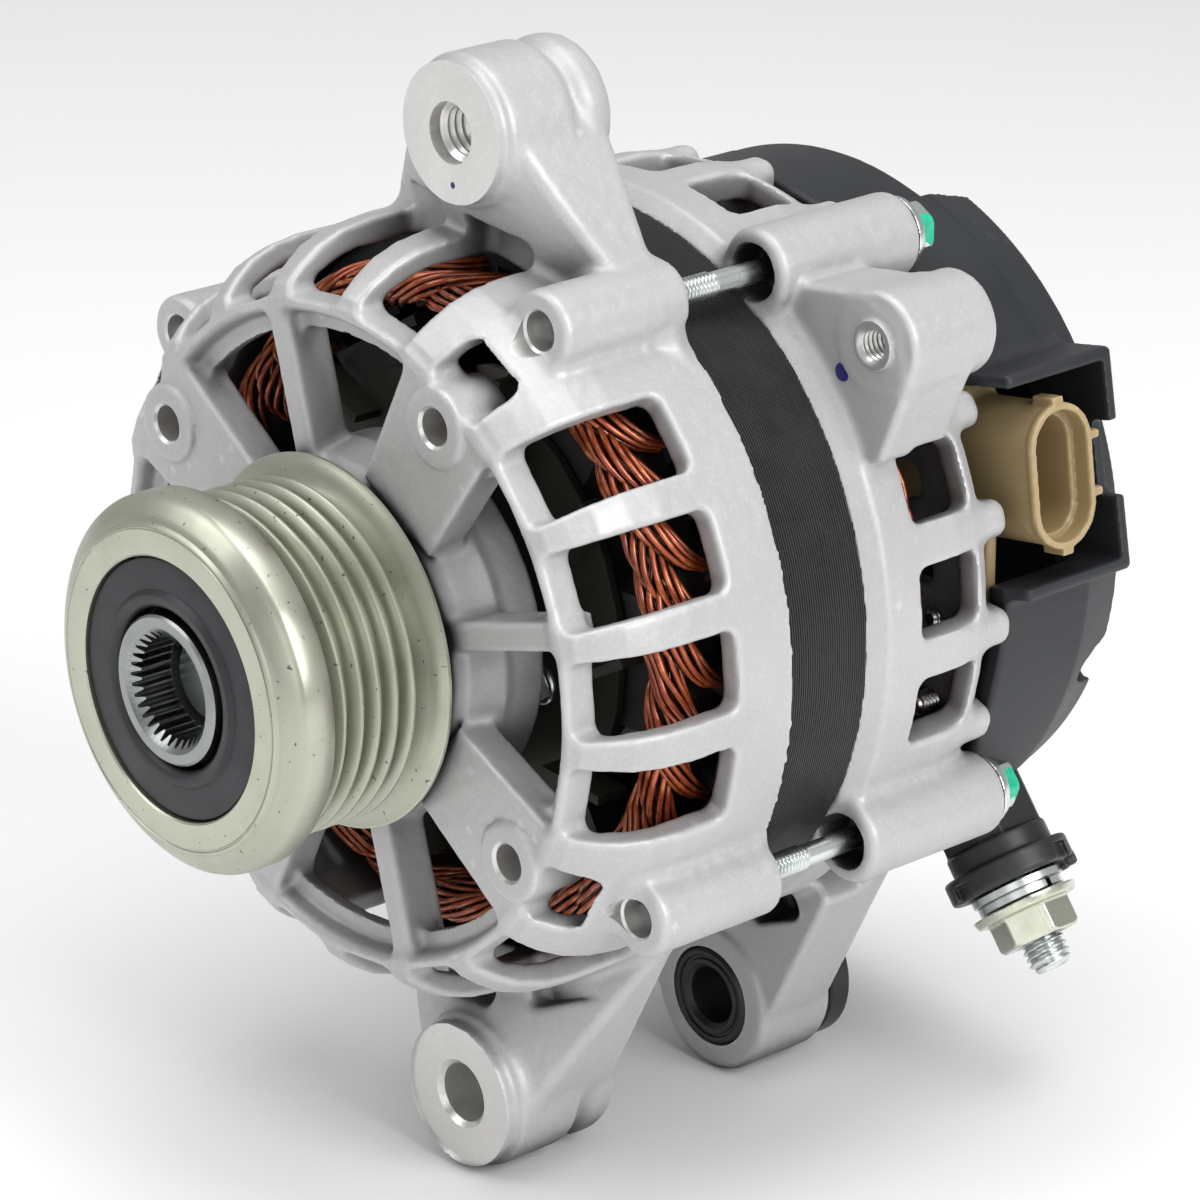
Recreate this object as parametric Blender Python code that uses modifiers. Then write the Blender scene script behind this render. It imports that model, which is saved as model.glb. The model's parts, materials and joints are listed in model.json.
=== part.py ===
"""Car alternator, modelled as separate bench parts.

The shaft runs along world Y with the pulley towards -Y. The origin is the centre of the shaft's front end.
Dimensions are millimetres, with y measured from the plane of the front mounting faces. The helpers turn them
into metres, and a parent empty carries the distance from the shaft's end to that plane.
"""

import math

import bmesh
import bpy
from mathutils import Matrix, Vector

MM = 0.001
GAP = 0.3            # clearance left between neighbouring solids

# Shell and mounting
BOLT_ANGLE = 58.85   # first of four through bolts, degrees from +X towards +Z
BOLT_CIRCLE_R = 67.65
BOSS_CIRCLE_R = 50.2
WINDOW_OFFSETS = (-25.95, -8.65, 8.65, 25.95)   # from the middle of each quadrant
EAR_X = 11.15
UPPER_EAR_Z = 84.5
LOWER_EAR_Z = -84.0
EAR_DEPTH = 23.0
THIRD_EAR = (60.0, 51.0)
EAR_HOLE_R = 5.0     # tapped hole of the upper ear
LOWER_HOLE_R = 5.3
THIRD_HOLE_R = 3.0
BUSH_R = 8.9
BUSH_BORE_R = 5.2
BUSH_FLANGE_R = 13.0
BOLT_HOLE_R = 3.4
BOLT_R = 2.2
HEAD_FLATS = 8.0     # across the flats of the small hexagon heads
RETAINER_SCREW_R = 27.8     # circle of the four screws
RETAINER_SCREW_ANGLE = 20.0     # from each through bolt
WINDOW_HALF = 6.4
FACE_Y = -16.0       # front face of the drive-end bracket
RIM_Y = 24.0         # its rear rim
SHELL_R = 65.9
STATOR_R = 62.0
STATOR_BORE_R = 48.6
STATOR_FRONT_Y = 17.3
STATOR_REAR_Y = 49.7
REAR_RIM_Y = 43.1
REAR_PLATE_Y = 70.0
REAR_END_Y = 76.5
COVER_R = 62.0
COVER_FRONT_Y = 77.5
COVER_END_Y = 110.0
COVER_SCREW_R = 55.0     # circle of the three cover screws
COVER_SCREW_ANGLES = (118.0, 212.0, 340.0)
REGULATOR_SCREWS = ((21.5, 46.0), (52.0, -4.0))
CONNECTOR_Y = 87.0
CONNECTOR_Z = 17.5
CONNECTOR_ROOT = 44.0
CONNECTOR_LEAN = 8.0     # degrees about the shaft
BAY_ANGLE = 10.0
BAY_LOW, BAY_HIGH = -10.5, 27.9     # across the bay, at right angles to its angle
BAY_R = 66.7
BAY_REAR_Y = 101.7
SLOTS = 36
CLAWS = 6
ROTOR_R = 48.0
CLAW_FRONT_Y = 12.0
CLAW_REAR_Y = 55.0
CORE_BORE_R = 9.9    # bore of the poles on the shaft
BOBBIN_R = 37.5

# Pulley and shaft
PULLEY_FRONT_Y = -51.0
PULLEY_REAR_Y = -18.0
RIB_PITCH = 3.56
FIRST_RIB_Y = -38.0
RIB_R = 29.0
GROOVE_R = 26.2
FLANGE_R = 31.6
HUB_R = 12.5
SPLINE_TEETH = 33
SHAFT_R = 8.5
SHAFT_FRONT_Y = -43.0

# Terminal
TERMINAL_ANGLE = -52.0
TERMINAL_Y = 96.0
STUD_R = 4.0


# ---------------------------------------------------------------- scene and materials

for leftover in list(bpy.data.objects):
    bpy.data.objects.remove(leftover, do_unlink=True)

parts = bpy.data.collections.new("car_alternator")
bpy.context.scene.collection.children.link(parts)


def material(name, colour, roughness, metallic):
    made = bpy.data.materials.new(name)
    made.use_nodes = True
    shader = made.node_tree.nodes["Principled BSDF"]
    shader.inputs["Base Color"].default_value = (*colour, 1.0)
    shader.inputs["Roughness"].default_value = roughness
    shader.inputs["Metallic"].default_value = metallic
    return made


ALUMINIUM = material("cast_aluminium", (0.72, 0.73, 0.74), 0.55, 0.6)
LAMINATION = material("lamination_steel", (0.05, 0.05, 0.055), 0.5, 0.4)
COPPER = material("enamelled_copper", (0.62, 0.20, 0.10), 0.3, 0.8)
STEEL = material("bearing_steel", (0.55, 0.56, 0.57), 0.25, 1.0)
IRON = material("forged_iron", (0.30, 0.30, 0.29), 0.5, 0.8)
ZINC = material("zinc_plated_steel", (0.72, 0.75, 0.74), 0.3, 1.0)
YELLOW_ZINC = material("nickel_plated_pulley", (0.70, 0.71, 0.62), 0.35, 0.9)
BLACK_PLASTIC = material("black_plastic", (0.035, 0.035, 0.038), 0.5, 0.0)
TAN_PLASTIC = material("tan_plastic", (0.55, 0.44, 0.28), 0.45, 0.0)
BLACK_STEEL = material("blackened_steel", (0.06, 0.06, 0.065), 0.4, 0.7)
CARBON = material("carbon_brush", (0.04, 0.04, 0.04), 0.7, 0.2)
WHITE_PLASTIC = material("white_nylon", (0.75, 0.73, 0.66), 0.5, 0.0)


# ---------------------------------------------------------------- modelling helpers


def stored(obj):
    """Replaces the object by its evaluated mesh, welded and facing out, without its modifiers."""
    graph = bpy.context.evaluated_depsgraph_get()
    mesh = bpy.data.meshes.new_from_object(obj.evaluated_get(graph))
    made = bpy.data.objects.new(obj.name + "_mesh", mesh)
    made.matrix_world = obj.matrix_world.copy()
    name = obj.name
    bpy.data.objects.remove(obj)
    made.name = name
    parts.objects.link(made)
    shape = bmesh.new()
    shape.from_mesh(mesh)
    shape.transform(made.matrix_world)
    made.matrix_world = Matrix.Identity(4)
    bmesh.ops.remove_doubles(shape, verts=shape.verts, dist=1e-6)
    bmesh.ops.recalc_face_normals(shape, faces=shape.faces)
    shape.to_mesh(mesh)
    shape.free()
    return made


def from_bmesh(name, shape):
    mesh = bpy.data.meshes.new(name)
    shape.to_mesh(mesh)
    shape.free()
    made = bpy.data.objects.new(name, mesh)
    parts.objects.link(made)
    return made


def turned(name, profile, segments, closed=True):
    """A profile of (radius, y) points turned round the shaft. An open profile starts and ends on the axis."""
    mesh = bpy.data.meshes.new(name)
    edges = [(i, i + 1) for i in range(len(profile) - 1)]
    if closed:
        edges.append((len(profile) - 1, 0))
    mesh.from_pydata([(r * MM, y * MM, 0.0) for r, y in profile], edges, [])
    obj = bpy.data.objects.new(name, mesh)
    parts.objects.link(obj)
    turn = obj.modifiers.new("turn", "SCREW")
    turn.axis = "Y"
    turn.steps = segments
    turn.render_steps = segments
    turn.use_merge_vertices = True
    turn.merge_threshold = 1e-6
    bpy.context.view_layer.update()
    return stored(obj)


def rod(name, radius, start, end, segments=16):
    """A cylinder between two points."""
    first, last = Vector(start) * MM, Vector(end) * MM
    shape = bmesh.new()
    bmesh.ops.create_cone(
        shape,
        cap_ends=True,
        segments=segments,
        radius1=radius * MM,
        radius2=radius * MM,
        depth=(last - first).length,
    )
    turn = (last - first).to_track_quat("Z", "Y").to_matrix().to_4x4()
    shape.transform(Matrix.Translation((first + last) / 2) @ turn)
    return from_bmesh(name, shape)


def axial(name, radius, centre, y_from, y_to, segments=16):
    """A cylinder parallel to the shaft, at centre (x, z)."""
    x, z = centre
    return rod(name, radius, (x, y_from, z), (x, y_to, z), segments)


def box(name, low, high, angle=0.0):
    """A block from its low to its high corner, then turned round the shaft axis by angle degrees."""
    low, high = Vector(low) * MM, Vector(high) * MM
    shape = bmesh.new()
    bmesh.ops.create_cube(shape, size=1.0)
    size = Matrix.Diagonal((*(high - low), 1.0))
    shape.transform(about_shaft(angle) @ Matrix.Translation((low + high) / 2) @ size)
    return from_bmesh(name, shape)


def plate(name, outline, y_from, y_to):
    """A flat outline of (x, z) points with its thickness along the shaft."""
    curve = bpy.data.curves.new(name, "CURVE")
    curve.dimensions = "2D"
    curve.fill_mode = "BOTH"
    curve.extrude = abs(y_to - y_from) / 2 * MM
    line = curve.splines.new("POLY")
    line.points.add(len(outline) - 1)
    for point, (x, z) in zip(line.points, outline):
        point.co = (x * MM, z * MM, 0.0, 1.0)
    line.use_cyclic_u = True
    obj = bpy.data.objects.new(name, curve)
    obj.rotation_euler = (math.radians(90), 0, 0)
    obj.location = (0, (y_from + y_to) / 2 * MM, 0)
    parts.objects.link(obj)
    bpy.context.view_layer.update()
    return stored(obj)


def about_shaft(degrees):
    """The turn that takes +X towards +Z by this many degrees."""
    return Matrix.Rotation(-math.radians(degrees), 4, "Y")


def polar(radius, degrees):
    """(x, z) of a point at this radius and angle round the shaft."""
    return (
        radius * math.cos(math.radians(degrees)),
        radius * math.sin(math.radians(degrees)),
    )


def pivot(point, turn):
    """The given turn made about a point instead of the origin."""
    place = Vector(point) * MM
    return Matrix.Translation(place) @ turn @ Matrix.Translation(-place)


def combine(target, tools, operation):
    """Boolean of the target with each tool in turn. The tools are used up."""
    for index, tool in enumerate(tools):
        step = target.modifiers.new(f"{operation.lower()}_{index}", "BOOLEAN")
        step.operation = operation
        step.solver = "EXACT"
        step.object = tool
    bpy.context.view_layer.update()
    made = stored(target)
    for tool in tools:
        bpy.data.objects.remove(tool)
    return made


def cut(target, tools):
    return combine(target, tools, "DIFFERENCE")


def join(target, tools):
    return combine(target, tools, "UNION")


def as_one(name, pieces):
    """Puts separate cutters that don't touch each other into one object."""
    shape = bmesh.new()
    for piece in pieces:
        shape.from_mesh(piece.data)
        bpy.data.objects.remove(piece)
    return from_bmesh(name, shape)


def finish(obj, look):
    obj.data.materials.clear()
    obj.data.materials.append(look)
    obj.data.shade_smooth()
    obj.data.set_sharp_from_angle(angle=math.radians(35))
    return obj


def hexagon(centre, across_flats):
    corner = across_flats / 2 / math.cos(math.radians(30))
    x, z = centre
    return [(x + polar(corner, 60 * i)[0], z + polar(corner, 60 * i)[1]) for i in range(6)]


def arc(radius, start, end, count):
    """Points along an arc round the shaft axis."""
    return [polar(radius, start + (end - start) * i / (count - 1)) for i in range(count)]


def tangent_feet(centre, radius, shell_r=61.5):
    """Where the two lines that touch an ear's boss and the shell meet the shell."""
    outward = math.degrees(math.atan2(centre[1], centre[0]))
    lean = 90 - math.degrees(math.asin((shell_r - radius) / math.hypot(*centre)))
    return polar(shell_r, outward - lean), polar(shell_r, outward + lean)


def ear_web(name, centre, radius, feet, y_from, y_to, count=9):
    """A web that runs from two feet on the shell round the outside of an ear's boss."""
    x, z = centre
    outward = math.degrees(math.atan2(z, x))
    cap = []
    for i in range(count):
        px, pz = polar(radius, outward - 60 + 120 * i / (count - 1))
        cap.append((x + px, z + pz))
    return plate(name, [feet[0], *cap, feet[1]], y_from, y_to)


# ---------------------------------------------------------------- drive-end bracket


def front_bracket():
    shell_outside = [
        (SHELL_R, RIM_Y),
        (SHELL_R, 2.0),
        (64.0, -7.0),
        (60.5, -13.0),
        (57.0, FACE_Y),
    ]
    shell_inside = [(53.0, FACE_Y), (53.0, -10.0), (57.0, -5.5), (60.4, 2.0), (60.4, RIM_Y)]
    body = turned("front_bracket", shell_outside + shell_inside, 36)

    windows = []
    for quadrant in range(4):
        middle = BOLT_ANGLE - 45 + 90 * quadrant
        for offset in WINDOW_OFFSETS:
            low, high = (56.4, -20.0, -WINDOW_HALF), (80.0, 11.5, WINDOW_HALF)
            windows.append(box("window", low, high, middle + offset))
        windows.append(box("bolt_window", (55.0, -20.0, -5.6), (62.2, 4.0, 5.6), middle + 45))
    body = cut(body, [as_one("windows", windows)])

    lugs = []
    for quadrant in range(4):
        angle = BOLT_ANGLE + 90 * quadrant
        lugs.append(axial("lug", 7.0, polar(BOLT_CIRCLE_R, angle), -3.5, RIM_Y - 0.3, 10))
    upper, lower = (EAR_X, UPPER_EAR_Z), (EAR_X, LOWER_EAR_Z)
    lugs.append(ear_web("upper_web", upper, 11.0, tangent_feet(upper, 11.0), 12.0, RIM_Y - 1.5))
    lugs.append(axial("upper_ear", 12.3, upper, 0, EAR_DEPTH, 20))
    lugs.append(ear_web("lower_web", lower, 12.0, tangent_feet(lower, 12.0), 12.0, RIM_Y - 1.5))
    lugs.append(axial("lower_ear", 13.3, lower, 0, EAR_DEPTH, 20))
    body = join(body, lugs)

    # One cut sizes the bore and the stator seat, through the shell and the webs alike.
    seat_r = STATOR_R + GAP
    seat = turned(
        "seat",
        [(0, 70), (seat_r, 70), (seat_r, 17.0), (61.0, 17.0), (61.0, 1.5), (57.6, -5.2), (0, -5.2)],
        36,
        closed=False,
    )
    body = cut(body, [seat])

    hub = turned(
        "hub",
        [
            (33.0, -3.0), (29.5, -13.8), (25.0, -15.3), (13.5, -15.3), (13.5, -13.6),
            (23.8, -13.6), (23.8, 1.0), (33.0, 1.0),
        ],
        28,
    )
    spokes = []
    for quadrant in range(4):
        angle = BOLT_ANGLE + 90 * quadrant
        spokes.append(box("arm", (26.5, FACE_Y - 0.1, -10.5), (55.5, -7.0, 10.5), angle))
        spokes.append(box("rib", (27.0, FACE_Y + 0.5, -2.3), (55.5, -6.0, 2.3), angle - 45))
        spokes.append(axial("boss", 6.6, polar(BOSS_CIRCLE_R, angle), FACE_Y - 0.5, -6.0, 12))
    body = join(body, [hub, *spokes])

    holes = []
    for quadrant in range(4):
        angle = BOLT_ANGLE + 90 * quadrant
        screw = polar(RETAINER_SCREW_R, angle + RETAINER_SCREW_ANGLE)
        holes.append(axial("bolt_hole", BOLT_HOLE_R, polar(BOLT_CIRCLE_R, angle), -10, 30, 8))
        holes.append(axial("boss_hole", 3.3, polar(BOSS_CIRCLE_R, angle), -20, 0, 10))
        holes.append(axial("screw_hole", 2.4, screw, -8.0, 5.0, 8))
    holes.append(axial("upper_hole", EAR_HOLE_R, upper, -5, 30, 20))
    holes.append(axial("lower_hole", LOWER_HOLE_R, lower, -5, 30, 20))
    return finish(cut(body, [as_one("holes", holes)]), ALUMINIUM)


# ---------------------------------------------------------------- slip-ring-end bracket


def rear_bracket():
    # The bearing bore is closed at the back by a thin lip.
    outline = [
        (65.4, REAR_RIM_Y + 3.1),
        (63.2, REAR_RIM_Y),
        (58.9, REAR_RIM_Y),
        (58.9, REAR_PLATE_Y + 0.4),
        (22.5, REAR_PLATE_Y + 0.4),
        (22.5, 64.0),
        (17.8, 64.0),
        (17.8, 75.3),
        (11.5, 75.3),
        (11.5, REAR_END_Y),
        (60.0, REAR_END_Y),
        (64.0, 73.0),
        (65.4, 62.0),
    ]
    body = turned("rear_bracket", outline, 36)

    windows = []
    for quadrant in range(4):
        middle = BOLT_ANGLE - 45 + 90 * quadrant
        for offset in WINDOW_OFFSETS:
            low, high = (56.8, 54.0, -WINDOW_HALF), (80.0, 68.0, WINDOW_HALF)
            windows.append(box("window", low, high, middle + offset))
            windows.append(box("outlet", (29.0, 60.0, -3.2), (51.0, 90.0, 3.2), middle + offset))
    body = cut(body, [as_one("windows", windows)])

    lugs = []
    for quadrant in range(4):
        angle = BOLT_ANGLE + 90 * quadrant
        lugs.append(axial("lug", 7.5, polar(BOLT_CIRCLE_R, angle), REAR_RIM_Y + 0.3, 75.5, 10))
    lower = (EAR_X, LOWER_EAR_Z)
    lugs.append(ear_web("third_web", THIRD_EAR, 8.0, ((62, 20), (34, 56)), 47.0, 60.0))
    lugs.append(axial("third_ear", 8.6, THIRD_EAR, 46.0, 66.0, 20))
    lugs.append(ear_web("lower_web", lower, 12.4, tangent_feet(lower, 12.4), 58.8, 73.0))
    lugs.append(axial("lower_ear", 13.6, lower, 58.0, 74.0, 24))
    body = join(body, lugs)

    seat_r = STATOR_R + GAP
    room = turned(
        "room",
        [(0, REAR_PLATE_Y), (59.3, REAR_PLATE_Y), (59.3, 50.0), (seat_r, 50.0), (seat_r, 30.0), (0, 30.0)],
        36,
        closed=False,
    )
    body = cut(body, [room])

    holes = []
    for quadrant in range(4):
        angle = BOLT_ANGLE + 90 * quadrant
        holes.append(axial("bolt_hole", BOLT_HOLE_R, polar(BOLT_CIRCLE_R, angle), 30, 90, 8))
    holes.append(axial("third_hole", THIRD_HOLE_R, THIRD_EAR, 40, 70, 16))
    holes.append(axial("bush_bore", BUSH_R + GAP, lower, 50, 80, 24))
    for angle in COVER_SCREW_ANGLES:
        holes.append(axial("cover_hole", 2.5, polar(COVER_SCREW_R, angle), 60, 90, 10))
    for centre in REGULATOR_SCREWS:
        holes.append(axial("regulator_hole", 2.3, centre, 60, 90, 10))
    return finish(cut(body, [as_one("holes", holes)]), ALUMINIUM)

# ---------------------------------------------------------------- stator


def stator_core():
    """A laminated ring with open slots round its bore."""
    body = turned(
        "stator_core",
        [
            (STATOR_R, STATOR_FRONT_Y),
            (STATOR_R, STATOR_REAR_Y),
            (STATOR_BORE_R, STATOR_REAR_Y),
            (STATOR_BORE_R, STATOR_FRONT_Y),
        ],
        36,
    )
    slots = []
    for index in range(SLOTS):
        angle = 360 / SLOTS * (index + 0.5)
        slots.append(box("slot", (44, 10, -2.5), (57.0, 60, 2.5), angle))
    return finish(cut(body, [as_one("slots", slots)]), LAMINATION)


def stator_winding():
    """Front and rear end turns joined by the bars that fill the slots."""
    front_y, rear_y = STATOR_FRONT_Y - GAP, STATOR_REAR_Y + GAP
    front = turned(
        "stator_winding",
        [(57.8, 12.0), (55.5, 3.0), (52.2, 3.0), (50.4, 10.0), (50.4, front_y), (57.8, front_y)],
        30,
    )
    rear = turned(
        "rear_turns",
        [(57.8, rear_y), (50.4, rear_y), (50.4, 57.0), (52.2, 63.5), (55.5, 63.5), (57.8, 55.0)],
        30,
    )
    bars = []
    for index in range(SLOTS):
        angle = 360 / SLOTS * (index + 0.5)
        bars.append(box("bar", (51.5, 14.0, -2.2), (56.6, 53.0, 2.2), angle))
    return finish(join(front, [rear, as_one("bars", bars)]), COPPER)


# ---------------------------------------------------------------- rotor


def rotor_shaft():
    steps = [
        (0, SHAFT_FRONT_Y),
        (7.0, SHAFT_FRONT_Y),
        (7.9, SHAFT_FRONT_Y + 1.0),
        (7.9, -17.0),
        (SHAFT_R, -16.6),
        (SHAFT_R, 1.8),
        (9.6, 2.0),
        (9.6, 56.8),
        (7.5, 57.2),
        (7.5, 76.0),
        (5.0, 76.5),
        (5.0, 99.0),
        (0, 99.0),
    ]
    return finish(turned("rotor_shaft", steps, 20, closed=False), STEEL)


def claw(y_root, y_tip, angle):
    """A claw that narrows from its root to its tip, under the rotor's outer radius."""
    root, tip = (11.8, 39.0, y_root), (4.2, 44.5, y_tip)     # half width, inner radius and y
    shape = bmesh.new()
    bmesh.ops.create_cube(shape, size=1.0)
    for vertex in shape.verts:
        half, inner_r, y = tip if vertex.co.y > 0 else root
        across = math.copysign(half, vertex.co.z)
        if vertex.co.x > 0:
            vertex.co = Vector((math.sqrt(ROTOR_R**2 - half**2), y, across))
        else:
            vertex.co = Vector((inner_r, y, across * 0.9))
    bmesh.ops.recalc_face_normals(shape, faces=shape.faces)
    shape.transform(about_shaft(angle) @ Matrix.Scale(MM, 4))
    return from_bmesh("claw", shape)


def claw_pole(name, y_back, y_face, y_root, y_tip, y_core, first_angle):
    """A pole disc with six claws bent over the field coil, and half of the core inside it."""
    disc = [(CORE_BORE_R, y_back), (34.0, y_back), (34.0, y_face), (CORE_BORE_R, y_face)]
    body = turned(name, disc, 24)
    y_join = y_face - (y_face - y_back) * 0.2
    core = [(CORE_BORE_R, y_join), (19.0, y_join), (19.0, y_core), (CORE_BORE_R, y_core)]
    tools = [turned("core", core, 24)]
    low_y, high_y = sorted((y_back, y_face))
    for index in range(CLAWS):
        angle = first_angle + 360 / CLAWS * index
        tools.append(box("root", (30.0, low_y + 0.2, -11.6), (46.4, high_y - 0.2, 11.6), angle))
        tools.append(claw(y_root, y_tip, angle))
    return finish(join(body, tools), IRON)


def field_bobbin():
    profile = [
        (19.5, 21.6), (BOBBIN_R, 21.6), (BOBBIN_R, 22.8), (21.0, 22.8),
        (21.0, 44.2), (BOBBIN_R, 44.2), (BOBBIN_R, 45.4), (19.5, 45.4),
    ]
    return finish(turned("field_bobbin", profile, 22), WHITE_PLASTIC)


def field_coil():
    profile = [(21.4, 23.2), (36.8, 23.2), (36.8, 43.8), (21.4, 43.8)]
    return finish(turned("field_coil", profile, 22), COPPER)


def fan(name, y_disc, y_blade, blades, phase):
    """A stamped fan: a disc with blades bent up from its edge."""
    thickness = math.copysign(1.3, y_blade - y_disc)
    low_y, high_y = sorted((y_disc, y_disc + thickness))
    body = turned(name, [(10.2, low_y), (40.0, low_y), (40.0, high_y), (10.2, high_y)], 28)
    low_y, high_y = sorted((y_disc + thickness * 0.3, y_blade))
    swept = pivot((40.0, 0.0, 0.0), about_shaft(28))
    tools = []
    for index in range(blades):
        blade = box("blade", (33.0, low_y, -0.8), (47.0, high_y, 0.8))
        blade.data.transform(about_shaft(phase + 360 / blades * index) @ swept)
        tools.append(blade)
    return finish(join(body, [as_one("blades", tools)]), IRON)


def slip_rings():
    sleeve = turned(
        "slip_ring_sleeve",
        [(5.3, 77.2), (6.2, 77.2), (6.2, 98.0), (5.3, 98.0)],
        20,
    )
    finish(sleeve, BLACK_PLASTIC)
    for name, y_from in (("slip_ring_front", 79.0), ("slip_ring_rear", 88.5)):
        ring = turned(name, [(6.5, y_from), (7.8, y_from), (7.8, y_from + 7), (6.5, y_from + 7)], 24)
        finish(ring, COPPER)


# ---------------------------------------------------------------- bearings


def bearing(name, y_from, y_to, bore_r, outside_r, balls, ball_r):
    """Grooved inner and outer races, and the balls held in one cage."""
    middle = (y_from + y_to) / 2
    pitch_r = (bore_r + outside_r) / 2
    shoulder = ball_r * 0.62     # from the pitch circle to each race's shoulder
    depth = ball_r + 0.5         # from the pitch circle to the bottom of each groove
    half = math.sqrt(depth**2 - shoulder**2)
    for part, side_r, way in (("inner_race", bore_r, -1), ("outer_race", outside_r, 1)):
        shoulder_r, groove_r = pitch_r + way * shoulder, pitch_r + way * depth
        profile = [
            (side_r, y_from), (shoulder_r, y_from), (shoulder_r, middle - half), (groove_r, middle - 0.6),
            (groove_r, middle + 0.6), (shoulder_r, middle + half), (shoulder_r, y_to), (side_r, y_to),
        ]
        finish(turned(f"{name}_{part}", profile, 24), STEEL)
    inner_r, outer_r = pitch_r - 0.7, pitch_r + 0.7
    front_y, rear_y = middle - 1.4, middle + 1.4
    profile = [(inner_r, front_y), (outer_r, front_y), (outer_r, rear_y), (inner_r, rear_y)]
    cage = turned(f"{name}_ball_cage", profile, balls * 3)
    tools = []
    for index in range(balls):
        x, z = polar(pitch_r, 360 / balls * index)
        shape = bmesh.new()
        bmesh.ops.create_uvsphere(shape, u_segments=6, v_segments=5, radius=ball_r * MM)
        shape.transform(Matrix.Translation((x * MM, middle * MM, z * MM)))
        tools.append(from_bmesh("ball", shape))
    finish(join(cage, [as_one("balls", tools)]), STEEL)


def bearing_retainer():
    first = BOLT_ANGLE + RETAINER_SCREW_ANGLE
    outline = [polar(23.5 if i % 2 else 31.5, first + 45 * i) for i in range(8)]
    body = plate("bearing_retainer", outline, 1.4, 3.4)
    holes = [axial("bore", 14.0, (0, 0), 0, 5, 30)]
    for quadrant in range(4):
        centre = polar(RETAINER_SCREW_R, first + 90 * quadrant)
        holes.append(axial("hole", 2.4, centre, 0, 5, 10))
        screw = axial(f"retainer_screw_{quadrant + 1}", 1.9, centre, -7.0, 3.9, 8)
        head = axial("head", 3.6, centre, 3.7, 5.0, 10)
        finish(join(screw, [head]), ZINC)
    return finish(cut(body, [as_one("holes", holes)]), ZINC)


# ---------------------------------------------------------------- overrunning pulley


def pulley_rim():
    outside = [
        (22.0, PULLEY_FRONT_Y + 0.4), (26.8, PULLEY_FRONT_Y), (27.7, -50.0), (29.4, -48.9),
        (FLANGE_R, -47.2), (FLANGE_R, -42.2), (31.2, -41.7),
    ]
    for index in range(6):
        groove_y = FIRST_RIB_Y - RIB_PITCH / 2 + RIB_PITCH * index
        outside += [(GROOVE_R, groove_y - 0.45), (GROOVE_R, groove_y + 0.45)]
        if index < 5:
            outside += [(RIB_R, groove_y + RIB_PITCH / 2)]
    outside += [(29.4, -19.9), (FLANGE_R, -19.0), (FLANGE_R, PULLEY_REAR_Y), (21.0, PULLEY_REAR_Y)]
    inside = [(21.0, -20.5), (18.0, -20.5), (18.0, -47.5), (22.0, -47.5)]
    return finish(turned("pulley_rim", outside + inside, 28), YELLOW_ZINC)


def pulley_hub():
    """The inner ring of the overrunning clutch, with a toothed socket at the front."""
    body = turned(
        "pulley_hub",
        [
            (HUB_R, -51.3), (HUB_R, -47.0), (13.2, -46.5), (13.2, -21.0),
            (12.2, -20.0), (12.2, -17.2), (8.2, -17.2), (8.2, -51.3),
        ],
        SPLINE_TEETH,
    )
    teeth = []
    for index in range(SPLINE_TEETH):
        step = 360 / SPLINE_TEETH
        teeth.append(polar(8.4, step * index))
        teeth.append(polar(9.5, step * (index + 0.5)))
    return finish(cut(body, [plate("socket", teeth, -60.0, -43.6)]), STEEL)


def pulley_fittings():
    cap = turned(
        "pulley_dust_cap",
        [(13.4, -50.4), (15.6, -50.9), (16.4, -50.4), (21.6, -50.4), (21.6, -48.6), (13.4, -48.6)],
        28,
    )
    finish(cap, BLACK_STEEL)
    seal = turned("pulley_rear_seal", [(12.8, -20.2), (20.7, -20.2), (20.7, -18.4), (12.8, -18.4)], 24)
    finish(seal, BLACK_PLASTIC)
    cage = turned("clutch_roller_cage", [(15.0, -45.5), (16.2, -45.5), (16.2, -23.0), (15.0, -23.0)], 24)
    rollers = []
    for index in range(12):
        rollers.append(axial("roller", 1.9, polar(15.6, 360 / 12 * index), -43.5, -25.0, 6))
    finish(join(cage, [as_one("rollers", rollers)]), STEEL)


# ---------------------------------------------------------------- electrics behind the rear bracket


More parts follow.
